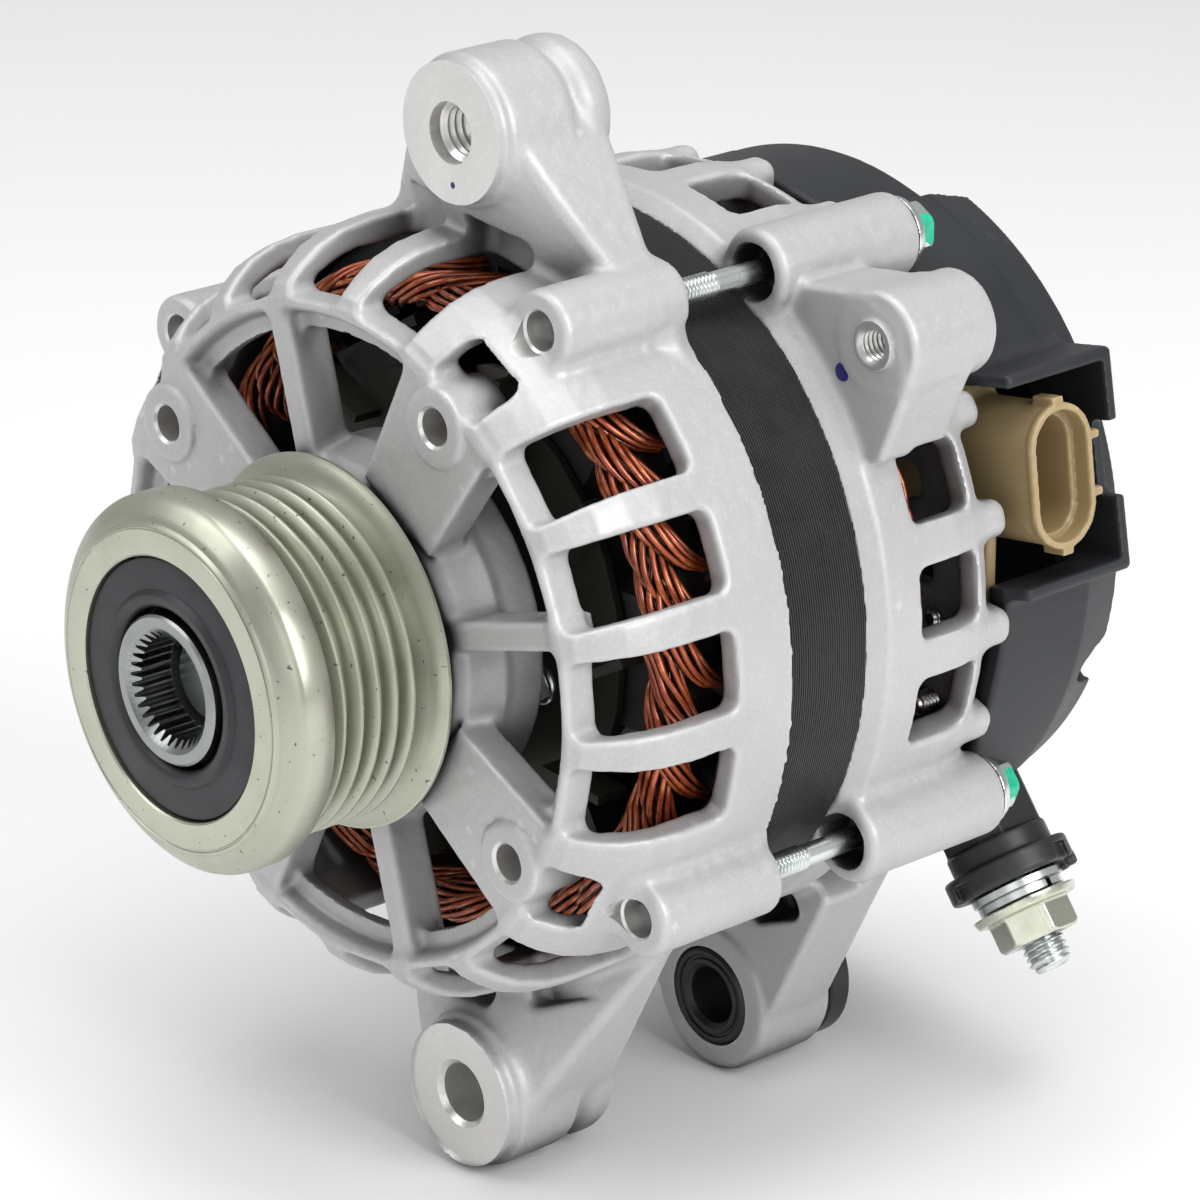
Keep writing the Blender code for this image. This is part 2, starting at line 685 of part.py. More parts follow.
def end_cover():
    """A moulded cup with a bay at the side for the connector and a slot for the terminal."""
    outside = [
        (0, COVER_END_Y), (51.0, COVER_END_Y), (58.8, 107.5), (COVER_R, 97.0), (COVER_R, COVER_FRONT_Y),
    ]
    inner_wall = [(59.8, 96.4), (56.6, 105.8), (50.4, 107.7), (0, 107.7)]
    body = turned("end_cover", outside + [(59.8, COVER_FRONT_Y)] + inner_wall, 32, closed=False)
    walls = box("bay_walls", (40.0, COVER_FRONT_Y + 0.2, BAY_LOW), (BAY_R, BAY_REAR_Y, BAY_HIGH), BAY_ANGLE)
    body = join(body, [walls])

    low, high = (30.0, 60.0, BAY_LOW + 2.2), (90.0, BAY_REAR_Y - 2.2, BAY_HIGH - 2.2)
    hollow = box("bay_hollow", low, high, BAY_ANGLE)
    notch = box("bay_notch", (62.6, 90.0, 2.4), (90.0, 110.0, 15.3), BAY_ANGLE)
    inner = turned("inner_room", [(0, 70.0), (59.8, 70.0)] + inner_wall, 32, closed=False)
    slot = box("terminal_slot", (35, 60, -11.5), (90, TERMINAL_Y + 8.6, 11.5), TERMINAL_ANGLE)
    body = cut(body, [hollow, notch, inner, slot])

    posts, wells, holes = [], [], []
    for angle in COVER_SCREW_ANGLES:
        centre = polar(COVER_SCREW_R, angle)
        posts.append(axial("post", 7.0, polar(COVER_SCREW_R - 0.5, angle), 77.0, 97.0, 16))
        wells.append(axial("well", 5.6, centre, 92.0, 120, 16))
        holes.append(axial("hole", 2.6, centre, 60, 120, 10))
    body = join(body, posts)
    body = cut(body, [as_one("wells", wells), as_one("holes", holes)])
    vents = [box("vent", (14.0 + 9 * (i % 2), 100, -1.4), (38.0, 120, 1.4), 110 + 20 * i) for i in range(8)]
    return finish(cut(body, [as_one("vents", vents)]), BLACK_PLASTIC)


def cover_screws():
    for index, angle in enumerate(COVER_SCREW_ANGLES):
        centre = polar(COVER_SCREW_R, angle)
        screw = axial(f"cover_screw_{index + 1}", 2.1, centre, 66.0, 92.6, 10)
        head = plate("head", hexagon(centre, HEAD_FLATS), 92.3, 96.3)
        finish(join(screw, [head]), ZINC)


def regulator():
    """The regulator's moulding: brush holder over the slip rings, electronics block and connector shell."""
    body = box("regulator", (-11.0, 78.0, 12.5), (12.0, 97.0, 34.0))
    block = box("block", (6.0, 78.0, 6.0), (45.0, 92.0, 36.4))
    upper_tab = box("upper_tab", (15.5, 77.2, 35.0), (27.5, 80.0, 51.5))
    lower_tab = box("lower_tab", (44.0, 77.2, -9.0), (57.0, 80.0, 12.0))
    body = join(body, [block, upper_tab, lower_tab])
    body = join(body, [connector_shell("connector", 43.0, 65.0, 7.2, 12.4)])

    socket = connector_shell("socket", 48.0, 75.0, 5.6, 10.8)
    shafts = [box("brush_shaft", (-4.3, y, 5.0), (4.3, y + 5.2, 31.0)) for y in (79.9, 89.4)]
    holes = [axial("hole", 2.3, centre, 70, 90, 10) for centre in REGULATOR_SCREWS]
    return finish(cut(body, [socket, as_one("shafts", shafts), as_one("holes", holes)]), TAN_PLASTIC)


def connector_shell(name, x_from, x_to, half_y, half_z):
    """A rounded oblong prism that leaves the shaft's side, leaning with the connector."""
    flat = half_z - half_y
    outline = []
    for start, centre in ((0, flat), (180, -flat)):
        for i in range(7):
            px, pz = polar(half_y, start + 30 * i)
            outline.append((px, pz + centre))
    prism = plate(name, outline, 0.0, x_to - x_from)
    corner = Matrix.Translation((x_from * MM, CONNECTOR_Y * MM, CONNECTOR_Z * MM))
    lean = pivot((CONNECTOR_ROOT, 0.0, CONNECTOR_Z), about_shaft(CONNECTOR_LEAN))
    prism.data.transform(lean @ corner @ Matrix.Rotation(math.radians(-90), 4, "Z"))
    return prism


def brushes():
    for letter, y_from in (("a", 80.2), ("b", 89.7)):
        brush = box(f"brush_{letter}", (-4.0, y_from, 8.2), (4.0, y_from + 4.6, 21.0))
        finish(brush, CARBON)
        spring(f"brush_spring_{letter}", y_from + 2.3, 21.4, 30.4)


def spring(name, y, z_from, z_to, turns=4, radius=1.5, wire=0.32):
    """A compression spring: a helical wire standing on the brush."""
    curve = bpy.data.curves.new(name, "CURVE")
    curve.dimensions = "3D"
    curve.bevel_depth = wire * MM
    curve.bevel_resolution = 0
    curve.use_fill_caps = True
    steps = turns * 6
    line = curve.splines.new("POLY")
    line.points.add(steps)
    for i, point in enumerate(line.points):
        angle = 2 * math.pi * i / 6
        z = z_from + wire + (z_to - z_from - 2 * wire) * i / steps
        point.co = (radius * math.cos(angle) * MM, (y + radius * math.sin(angle)) * MM, z * MM, 1.0)
    obj = bpy.data.objects.new(name, curve)
    parts.objects.link(obj)
    bpy.context.view_layer.update()
    return finish(stored(obj), ZINC)


def sector(name, inner_r, outer_r, start, end, y_from, y_to, count=11):
    outline = arc(outer_r, start, end, count) + arc(inner_r, end, start, count)
    return plate(name, outline, y_from, y_to)


def rectifier():
    """Two curved heat sinks, with three press-fit diodes in each."""
    negative = sector("rectifier_negative_plate", 24.0, 46.5, 128, 276, 78.0, 80.5)
    positive = sector("rectifier_positive_plate", 24.0, 46.5, 128, 276, 89.0, 91.5)
    for plate_name, body, y_from, y_to, angles in (
        ("negative", negative, 76.9, 83.5, (145, 190, 235)),
        ("positive", positive, 86.0, 92.6, (167, 212, 256)),
    ):
        holes = [axial("seat", 6.2 + GAP, polar(35.2, a), 70, 100, 12) for a in angles]
        finish(cut(body, [as_one("seats", holes)]), ALUMINIUM)
        for index, angle in enumerate(angles):
            diode = axial(f"diode_{plate_name}_{index + 1}", 6.2, polar(35.2, angle), y_from, y_to, 12)
            finish(diode, STEEL)


def terminal_point(distance):
    """A point on the terminal's axis, at a distance from the shaft."""
    x, z = polar(distance, TERMINAL_ANGLE)
    return (x, TERMINAL_Y, z)


def output_terminal():
    """A stud through an insulating tower, held by a collar and a flange nut."""
    at = terminal_point
    low, high = (47.0, TERMINAL_Y - 7.6, -7.6), (74.0, TERMINAL_Y + 7.6, 7.6)
    tower = box("terminal_insulator", low, high, TERMINAL_ANGLE)
    tower = join(tower, [rod("flange", 11.6, at(70.0), at(77.8), 20)])
    finish(cut(tower, [rod("bore", STUD_R + GAP, at(40), at(90), 12)]), BLACK_PLASTIC)

    collar = rod("terminal_collar", 8.4, at(77.8 + GAP), at(81.3), 16)
    finish(cut(collar, [rod("bore", STUD_R + GAP, at(70), at(90), 12)]), ZINC)

    flats = rod("flats", 7.5, at(82.6), at(88.8), 6)
    nut = join(rod("terminal_nut", 9.4, at(81.3 + GAP), at(83.0), 16), [flats])
    finish(cut(nut, [rod("bore", STUD_R + GAP, at(70), at(99), 12)]), ZINC)

    stud = rod("terminal_stud", STUD_R, at(44.5), at(94.3), 12)
    finish(join(stud, [rod("head", 6.4, at(43.0), at(46.0), 6)]), ZINC)


def through_bolts():
    for quadrant in range(4):
        centre = polar(BOLT_CIRCLE_R, BOLT_ANGLE + 90 * quadrant)
        bolt = axial(f"through_bolt_{quadrant + 1}", BOLT_R, centre, 2.0, 76.5, 10)
        flange = axial("flange", 6.2, centre, 75.8, 77.2, 12)
        head = plate("head", hexagon(centre, HEAD_FLATS), 77.0, 81.5)
        finish(join(bolt, [flange, head]), ZINC)


def mounting_bush():
    """A plain sleeve through the lower ear, with a wide collar behind it."""
    centre = (EAR_X, LOWER_EAR_Z)
    sleeve = axial("mounting_bush", BUSH_R, centre, 57.6, 76.0, 24)
    bush = join(sleeve, [axial("collar", BUSH_FLANGE_R, centre, 75.0, 80.0, 24)])
    return finish(cut(bush, [axial("bore", BUSH_BORE_R, centre, 50, 90, 20)]), BLACK_STEEL)


def regulator_screws():
    for index, centre in enumerate(REGULATOR_SCREWS):
        screw = axial(f"regulator_screw_{index + 1}", 1.9, centre, 69.0, 80.6, 10)
        head = axial("head", 3.8, centre, 80.3, 82.6, 12)
        finish(join(screw, [head]), ZINC)


front_bracket()
rear_bracket()
stator_core()
stator_winding()
rotor_shaft()
claw_pole("front_claw_pole", CLAW_FRONT_Y, 21.0, 12.6, 47.0, 33.2, 0.0)
claw_pole("rear_claw_pole", CLAW_REAR_Y, 46.0, 54.4, 20.0, 33.8, 180.0 / CLAWS)
field_bobbin()
field_coil()
fan("front_fan", 11.5, 4.8, 11, 0.0)
fan("rear_fan", 55.5, 62.5, 9, 10.0)
slip_rings()
bearing("front_bearing", -13.2, 0.6, SHAFT_R + GAP, 23.5, 8, 3.6)
bearing("rear_bearing", 64.5, 74.8, 7.5 + GAP, 17.5, 8, 2.6)
bearing_retainer()
pulley_rim()
pulley_hub()
pulley_fittings()
end_cover()
cover_screws()
regulator()
brushes()
rectifier()
output_terminal()
through_bolts()
mounting_bush()
regulator_screws()

# The empty carries every part from the mounting plane to the origin at the shaft's front end.
datum = bpy.data.objects.new("mounting_plane", None)
datum.location = (0.0, -SHAFT_FRONT_Y * MM, 0.0)
parts.objects.link(datum)
for part in list(parts.objects):
    if part is not datum:
        part.parent = datum
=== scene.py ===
"""Looks for the car alternator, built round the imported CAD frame.

Shapes are drawn in millimetres, with y measured from the plane of the front mounting faces, and move into the
frame when they become meshes. Cast and moulded pieces are distance fields with rounded joins, turned into
quads. Turned pieces are profiles swept round the shaft.
"""

import json
import math

import bmesh
import bpy
import numpy as np
import openvdb
from mathutils import Matrix, Vector


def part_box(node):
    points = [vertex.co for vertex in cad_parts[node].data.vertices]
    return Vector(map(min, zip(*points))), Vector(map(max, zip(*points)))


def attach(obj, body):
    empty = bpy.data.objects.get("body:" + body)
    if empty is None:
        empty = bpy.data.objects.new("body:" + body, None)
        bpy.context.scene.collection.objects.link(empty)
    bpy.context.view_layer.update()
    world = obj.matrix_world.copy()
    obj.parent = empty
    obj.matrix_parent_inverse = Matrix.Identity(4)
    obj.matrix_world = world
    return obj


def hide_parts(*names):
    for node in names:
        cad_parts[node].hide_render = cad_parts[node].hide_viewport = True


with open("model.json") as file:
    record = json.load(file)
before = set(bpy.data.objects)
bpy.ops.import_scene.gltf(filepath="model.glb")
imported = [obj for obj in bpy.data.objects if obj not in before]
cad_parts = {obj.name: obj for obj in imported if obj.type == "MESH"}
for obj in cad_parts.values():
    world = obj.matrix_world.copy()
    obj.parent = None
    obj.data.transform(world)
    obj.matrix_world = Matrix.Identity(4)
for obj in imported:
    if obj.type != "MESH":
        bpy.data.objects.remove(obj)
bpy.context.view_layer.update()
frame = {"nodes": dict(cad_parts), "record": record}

MM = 0.001
FINE = 1.0     # cell size factor while trying things

MOUNTS = {mount["name"]: mount["pos_m"] for mount in frame["record"]["mounts"]}
DATUM_Y = MOUNTS["upper_ear_face"][1]

# Places that several pieces share, in millimetres and in degrees from +X towards +Z.
BOLT_ANGLES = [58.85 + 90 * i for i in range(4)]
QUADRANTS = [angle - 45 for angle in BOLT_ANGLES]     # middles of the stretches between bolts
WINDOW_OFFSETS = (-25.95, -8.65, 8.65, 25.95)     # from the middle of each quadrant
BOLT_R = 67.65
BOSS_R = 50.2
SEAT_R = 62.4     # where the brackets hold the stator
HEAD_FLATS = 8.0     # across the flats of the bolt and screw heads
EAR_X = 11.15
UPPER_EAR = (EAR_X, 84.5)
LOWER_EAR = (EAR_X, -84.0)
THIRD_EAR = (60.0, 51.0)
SHELL_R = 65.9
WEB_START_Z = 22.0     # below this height the webs are inside the shell
WEB_REACH_X = 66.0


# ---------------------------------------------------------------- shapes as distance functions


def polar(radius, degrees):
    turn = math.radians(degrees)
    return radius * math.cos(turn), radius * math.sin(turn)


def smooth_min(a, b, blend):
    if not blend:
        return np.minimum(a, b)
    near = np.maximum(blend - np.abs(a - b), 0)
    return np.minimum(a, b) - near * near * (0.25 / blend)


def rounded(first, second, edge):
    """The part that two distances share, with the corner between them rounded."""
    first, second = first + edge, second + edge
    outside = np.sqrt(np.maximum(first, 0) ** 2 + np.maximum(second, 0) ** 2)
    return np.minimum(np.maximum(first, second), 0) + outside - edge


def polygon_distance(u, v, points):
    """Signed distance in the plane to a polygon, negative inside."""
    u, v = np.broadcast_arrays(u, v)
    best = np.full(u.shape, 1e9, np.float32)
    inside = np.zeros(u.shape, bool)
    for (au, av), (bu, bv) in zip(points, points[1:] + points[:1]):
        eu, ev = bu - au, bv - av
        wu, wv = u - au, v - av
        t = np.clip((wu * eu + wv * ev) / max(eu * eu + ev * ev, 1e-9), 0, 1)
        best = np.minimum(best, (wu - eu * t) ** 2 + (wv - ev * t) ** 2)
        crosses = (av > v) != (bv > v)
        with np.errstate(divide="ignore", invalid="ignore"):
            inside ^= crosses & (u < (v - av) * eu / (ev if ev else 1e-9) + au)
    return np.sqrt(best) * np.where(inside, -1, 1)


# A shape is (low corner, high corner, distance function of x, y, z).


def turned_shape(profile, rounding=0.0):
    """Solid of revolution round the shaft from a closed (radius, y) outline."""
    reach = max(r for r, _ in profile)
    ys = [y for _, y in profile]
    step = 0.2

    def distance(x, y, z):
        radius = np.sqrt(x * x + z * z)[:, 0, :]
        samples = np.arange(0, radius.max() + 2 * step, step, dtype=np.float32)
        table = polygon_distance(samples[:, None], y.ravel()[None, :], profile) - rounding
        place = radius / step
        index = place.astype(np.int32)
        part = (place - index)[..., None]
        value = table[index] * (1 - part) + table[index + 1] * part
        return value.transpose(0, 2, 1)

    return (-reach, min(ys), -reach), (reach, max(ys), reach), distance


def slab(outline, reach, y_from, y_to, edge=0.0, taper=0.0):
    """A plane outline (distance function of x, z) given thickness along the shaft."""
    middle, half = (y_from + y_to) / 2, abs(y_to - y_from) / 2

    def distance(x, y, z):
        return rounded(outline(x, z) + taper * (y - middle), np.abs(y - middle) - half, edge)

    (x0, z0), (x1, z1) = reach
    low_y, high_y = sorted((y_from, y_to))
    return (x0, low_y, z0), (x1, high_y, z1), distance


def disc(centre, radius, y_from, y_to, edge=0.0, taper=0.0):
    cx, cz = centre
    outline = lambda x, z: np.hypot(x - cx, z - cz) - radius
    pad = radius + abs(taper) * abs(y_to - y_from)
    return slab(outline, ((cx - pad, cz - pad), (cx + pad, cz + pad)), y_from, y_to, edge, taper)


def bar(low, high, angle, y_from, y_to, edge=0.0, corner=0.0, end_width=None):
    """A radial bar between two (u, w) corners. u runs outwards from the shaft, w across, turned by angle."""
    (u0, w0), (u1, w1) = low, high
    middle, half = (w0 + w1) / 2, (w1 - w0) / 2
    turn = math.radians(angle)
    c, s = math.cos(turn), math.sin(turn)

    def outline(x, z):
        u, w = x * c + z * s, z * c - x * s
        width = half
        if end_width:
            width = half + (end_width / 2 - half) * np.clip((u - u0) / (u1 - u0), 0, 1)
        return rounded(np.abs(w - middle) - width, np.abs(u - (u0 + u1) / 2) - (u1 - u0) / 2, corner)

    widest = max(half, (end_width or 0) / 2)
    corners = [(u * c - w * s, u * s + w * c) for u in (u0, u1) for w in (middle - widest, middle + widest)]
    xs, zs = zip(*corners)
    return slab(outline, ((min(xs), min(zs)), (max(xs), max(zs))), y_from, y_to, edge)


def outline_slab(points, y_from, y_to, edge=0.0, rounding=0.0):
    """A polygon of (x, z) points with thickness along the shaft."""
    xs, zs = [p[0] for p in points], [p[1] for p in points]
    outline = lambda x, z: polygon_distance(x, z, points) - rounding
    reach = ((min(xs) - rounding, min(zs) - rounding), (max(xs) + rounding, max(zs) + rounding))
    return slab(outline, reach, y_from, y_to, edge)


def hull_outline(first, first_r, second, second_r):
    """Plane distance to the belt round two circles."""
    (ax, az), (bx, bz) = first, second
    length = math.hypot(bx - ax, bz - az)
    ux, uz = (bx - ax) / length, (bz - az) / length
    slope = (first_r - second_r) / length
    climb = math.sqrt(1 - slope * slope)

    def outline(x, z):
        along = (x - ax) * ux + (z - az) * uz
        across = np.abs((z - az) * ux - (x - ax) * uz)
        t = np.clip((along - across * slope / climb) / length, 0, 1)
        return np.hypot(along - t * length, across) - (first_r + (second_r - first_r) * t)

    return outline


def ear_web(ear, ear_r, shell_r, y_front, y_rear, edge, lean=0.0, start=10.0):
    """The web from an ear to the shell. Beyond start from the ear, its front face leans back by lean."""
    ex, ez = ear
    outline = hull_outline(ear, ear_r, (0, 0), shell_r)

    def distance(x, y, z):
        away = np.maximum(np.hypot(x - ex, z - ez) - start, 0)
        front = (y_front + lean * away - y) / math.hypot(1, lean)
        return rounded(outline(x, z), np.maximum(front, y - y_rear), edge)

    ends = sorted((ez + math.copysign(ear_r, ez), math.copysign(WEB_START_Z, ez)))
    return (-WEB_REACH_X, y_front, ends[0]), (WEB_REACH_X, y_rear, ends[1]), distance


def block(low, high, edge=0.0):
    """An upright box with rounded edges."""
    middle = [(a + b) / 2 for a, b in zip(low, high)]
    half = [(b - a) / 2 - edge for a, b in zip(low, high)]

    def distance(x, y, z):
        sides = [np.abs(v - m) - h for v, m, h in zip((x, y, z), middle, half)]
        outside = np.sqrt(sum(np.maximum(s, 0) ** 2 for s in sides))
        inside = np.minimum(np.maximum(np.maximum(sides[0], sides[1]), sides[2]), 0)
        return inside + outside - edge

    return low, high, distance


def both(first, second):
    """The part that two shapes share."""
    low = tuple(max(a, b) for a, b in zip(first[0], second[0]))
    high = tuple(min(a, b) for a, b in zip(first[1], second[1]))
    return low, high, lambda x, y, z: np.maximum(first[2](x, y, z), second[2](x, y, z))


class Field:
    """A distance field in millimetres that shapes are added to and cut from."""

    def __init__(self, low, high, cell):
        self.cell = cell * FINE
        self.low = low
        self.axes = [np.arange(a, b + self.cell, self.cell, dtype=np.float32) for a, b in zip(low, high)]
        self.values = np.full([len(a) for a in self.axes], 40.0, np.float32)

    def window(self, low, high, pad):
        slices, places = [], []
        for axis, a, b, shape in zip(self.axes, low, high, ((-1, 1, 1), (1, -1, 1), (1, 1, -1))):
            start, stop = np.searchsorted(axis, (a - pad, b + pad))
            slices.append(slice(int(start), int(stop)))
            places.append(axis[start:stop].reshape(shape))
        return tuple(slices), places

    def add(self, shape, blend=0.0):
        low, high, distance = shape
        slices, (x, y, z) = self.window(low, high, blend + 4 * self.cell)
        self.values[slices] = smooth_min(self.values[slices], distance(x, y, z), blend)

    def cut(self, shape, blend=0.0):
        low, high, distance = shape
        slices, (x, y, z) = self.window(low, high, blend + 4 * self.cell)
        self.values[slices] = -smooth_min(-self.values[slices], distance(x, y, z), blend)

    def roughen(self, amount, seed):
        """A faint waviness, as a sand or die casting has."""
        noise = np.random.default_rng(seed).standard_normal(self.values.shape).astype(np.float32)
        for axis in range(3):
            for _ in range(2):
                noise = (np.roll(noise, 1, axis) + noise + np.roll(noise, -1, axis)) / 3
        self.values += noise * (amount / noise.std())

    def mesh(self, name, material):
        grid = openvdb.FloatGrid(3 * self.cell)
        grid.copyFromArray(np.clip(self.values, -3 * self.cell, 3 * self.cell))
        points, quads = grid.convertToQuads(isovalue=0.0)
        points = points * self.cell + np.array(self.low)
        return mesh_object(name, points, quads, material)


def linked(name, mesh, material, angle):
    """An object in the scene for a finished mesh."""
    obj = bpy.data.objects.new(name, mesh)
    bpy.context.scene.collection.objects.link(obj)
    mesh.materials.append(material)
    return smooth(obj, angle)


def into_frame(points):
    """Drawing millimetres to the frame's metres."""
    return np.asarray(points, np.float64) * MM + (0, DATUM_Y, 0)


def mesh_object(name, points, faces, material, smooth_angle=40):
    """An object from points in drawing millimetres and faces of one size."""
    points = into_frame(points)
    faces = np.asarray(faces, np.int32)
    mesh = bpy.data.meshes.new(name)
    mesh.vertices.add(len(points))
    mesh.vertices.foreach_set("co", points.astype(np.float32).ravel())
    mesh.loops.add(faces.size)
    mesh.loops.foreach_set("vertex_index", faces.ravel())
    mesh.polygons.add(len(faces))
    mesh.polygons.foreach_set("loop_start", np.arange(0, faces.size, faces.shape[1], dtype=np.int32))
    mesh.update(calc_edges=True)
    mesh.validate()
    return linked(name, mesh, material, smooth_angle)


def smooth(obj, angle):
    obj.data.shade_smooth()
    obj.data.set_sharp_from_angle(angle=math.radians(angle))
    return obj


def settled(obj):
    """Applies the object's modifiers."""
    graph = bpy.context.evaluated_depsgraph_get()
    mesh = bpy.data.meshes.new_from_object(obj.evaluated_get(graph))
    obj.modifiers.clear()
    obj.data = mesh
    return obj


def boolean(target, tool, angle=40):
    """Cuts with a closed tool, which is used up. Cut faces take the tool's material."""
    step = target.modifiers.new("step", "BOOLEAN")
    step.operation = "DIFFERENCE"
    step.solver = "MANIFOLD"
    step.object = tool
    step.material_mode = "TRANSFER"
    bpy.context.view_layer.update()
    settled(target)
    bpy.data.objects.remove(tool)
    return smooth(target, angle)


def turned(name, profile, material, segments=128, centre=(0, 0), angle=30):
    """A (radius, y) outline swept round the shaft, or round another line parallel to it.

    An outline that starts on the line is closed by it, and any other is closed on itself.
    """
    cx, cz = centre
    closed = profile[0][0] > 0
    index = []
    points, faces = [], []
    for r, y in profile:
        if r == 0:
            index.append([len(points)] * segments)
            points.append((cx, y, cz))
        else:
            index.append([len(points) + i for i in range(segments)])
            for i in range(segments):
                turn = 2 * math.pi * i / segments
                points.append((cx + r * math.cos(turn), y, cz + r * math.sin(turn)))
    pairs = list(zip(index, index[1:]))
    if closed:
        pairs.append((index[-1], index[0]))
    area = sum(a[0] * b[1] - b[0] * a[1] for a, b in zip(profile, profile[1:] + profile[:1]))
    mesh = bpy.data.meshes.new(name)
    for first, second in pairs:
        for i in range(segments):
            j = (i + 1) % segments
            ring = [first[i], first[j], second[j], second[i]]
            if area > 0:
                ring.reverse()
            ring = [v for k, v in enumerate(ring) if v != ring[k - 1]]
            if len(ring) > 2:
                faces.append(ring)
    mesh.from_pydata(into_frame(points).tolist(), [], faces)
    mesh.update()
    return linked(name, mesh, material, angle)


def placed(obj, body, node=None):
    """Gives a finished piece to its body and, if it stands for one, hides its CAD node."""
    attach(obj, body)
    if node:
        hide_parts(node)
    return obj




# ---------------------------------------------------------------- materials


class Look:
    """A Principled material that is wired from nodes."""

    def __init__(self, name, colour, roughness, metallic=0.0):
        self.material = bpy.data.materials.new(name)
        self.material.use_nodes = True
        self.nodes = self.material.node_tree.nodes
        self.links = self.material.node_tree.links
        self.shader = self.nodes["Principled BSDF"]
        self.shader.inputs["Roughness"].default_value = roughness
        self.shader.inputs["Metallic"].default_value = metallic
        self.place = self.nodes.new("ShaderNodeTexCoord").outputs["Object"]
        self.set_colour(colour)
        self.normal = None

    def node(self, kind, **settings):
        made = self.nodes.new(kind)
        for key, value in settings.items():
            setattr(made, key, value)
        return made

    def set_colour(self, colour):
        source = self.node("ShaderNodeRGB")
        source.outputs[0].default_value = (*colour, 1)
        self.colour = source.outputs[0]
        self.links.new(self.colour, self.shader.inputs["Base Color"])

    def noise(self, scale, detail=4, stretch=(1, 1, 1), roughness=0.55):
        """Noise at this many cells a metre."""
        place = self.node("ShaderNodeMapping")
        place.inputs["Scale"].default_value = stretch
        self.links.new(self.place, place.inputs["Vector"])
        made = self.node("ShaderNodeTexNoise")
        made.inputs["Scale"].default_value = scale
        made.inputs["Detail"].default_value = detail
        made.inputs["Roughness"].default_value = roughness
        self.links.new(place.outputs[0], made.inputs["Vector"])
        return made.outputs["Fac"]

    def ramp(self, value, low, high, to_low=0.0, to_high=1.0):
        made = self.node("ShaderNodeMapRange")
        for key, number in (("From Min", low), ("From Max", high), ("To Min", to_low), ("To Max", to_high)):
            made.inputs[key].default_value = number
        self.links.new(value, made.inputs["Value"])
        return made.outputs[0]

    def mix_in(self, colour, amount, mode="MIX"):
        """Blends a colour, or a coloured socket, over what is there by amount (a number or a socket)."""
        made = self.node("ShaderNodeMix", data_type="RGBA", blend_type=mode)
        self.links.new(self.colour, made.inputs["A"])
        if isinstance(colour, (tuple, list)):
            made.inputs["B"].default_value = (*colour, 1)
        else:
            self.links.new(colour, made.inputs["B"])
        if isinstance(amount, (int, float)):
            made.inputs["Factor"].default_value = amount
        else:
            self.links.new(amount, made.inputs["Factor"])
        self.colour = made.outputs["Result"]
        self.links.new(self.colour, self.shader.inputs["Base Color"])
        return self

    def roughen(self, value, low, high):
        """Roughness from low to high as the value goes from 0 to 1."""
        self.links.new(self.ramp(value, 0.3, 0.7, low, high), self.shader.inputs["Roughness"])
        return self

    def bump(self, value, height, strength=1.0):
        made = self.node("ShaderNodeBump")
        made.inputs["Strength"].default_value = strength
        made.inputs["Distance"].default_value = height * MM
        self.links.new(value, made.inputs["Height"])
        if self.normal:
            self.links.new(self.normal, made.inputs["Normal"])
        self.normal = made.outputs[0]
        self.links.new(self.normal, self.shader.inputs["Normal"])
        return self

    def edges(self, low=0.5, high=0.56):
        """1 on convex edges and 0 on flats, from the mesh's pointiness."""
        return self.ramp(self.node("ShaderNodeNewGeometry").outputs["Pointiness"], low, high)

    def hollows(self, distance, low=0.35, high=0.9):
        """1 where nearby surfaces shut the light out."""
        made = self.node("ShaderNodeAmbientOcclusion", samples=6)
        made.inputs["Distance"].default_value = distance * MM
        return self.ramp(made.outputs["AO"], low, high, 1, 0)

    def multiply(self, a, b):
        made = self.node("ShaderNodeMath", operation="MULTIPLY")
        for socket, value in zip(made.inputs, (a, b)):
            if isinstance(value, (int, float)):
                socket.default_value = value
            else:
                self.links.new(value, socket)
        return made.outputs[0]

    def radius(self):
        """Distance from the shaft axis, in millimetres."""
        split = self.node("ShaderNodeSeparateXYZ")
        self.links.new(self.place, split.inputs[0])
        flat = self.node("ShaderNodeCombineXYZ")
        self.links.new(split.outputs["X"], flat.inputs["X"])
        self.links.new(split.outputs["Z"], flat.inputs["Z"])
        size = self.node("ShaderNodeVectorMath", operation="LENGTH")
        self.links.new(flat.outputs[0], size.inputs[0])
        return self.multiply(size.outputs["Value"], 1000)

    def along(self):
        """The coordinate along the shaft, in millimetres."""
        split = self.node("ShaderNodeSeparateXYZ")
        self.links.new(self.place, split.inputs[0])
        return self.multiply(split.outputs["Y"], 1000)

    def lines(self, value, per_unit, detail=2):
        """One-dimensional noise along a value, for turning marks."""
        made = self.node("ShaderNodeTexNoise", noise_dimensions="1D")
        made.inputs["Scale"].default_value = per_unit
        made.inputs["Detail"].default_value = detail
        self.links.new(value, made.inputs["W"])
        return made.outputs["Fac"]


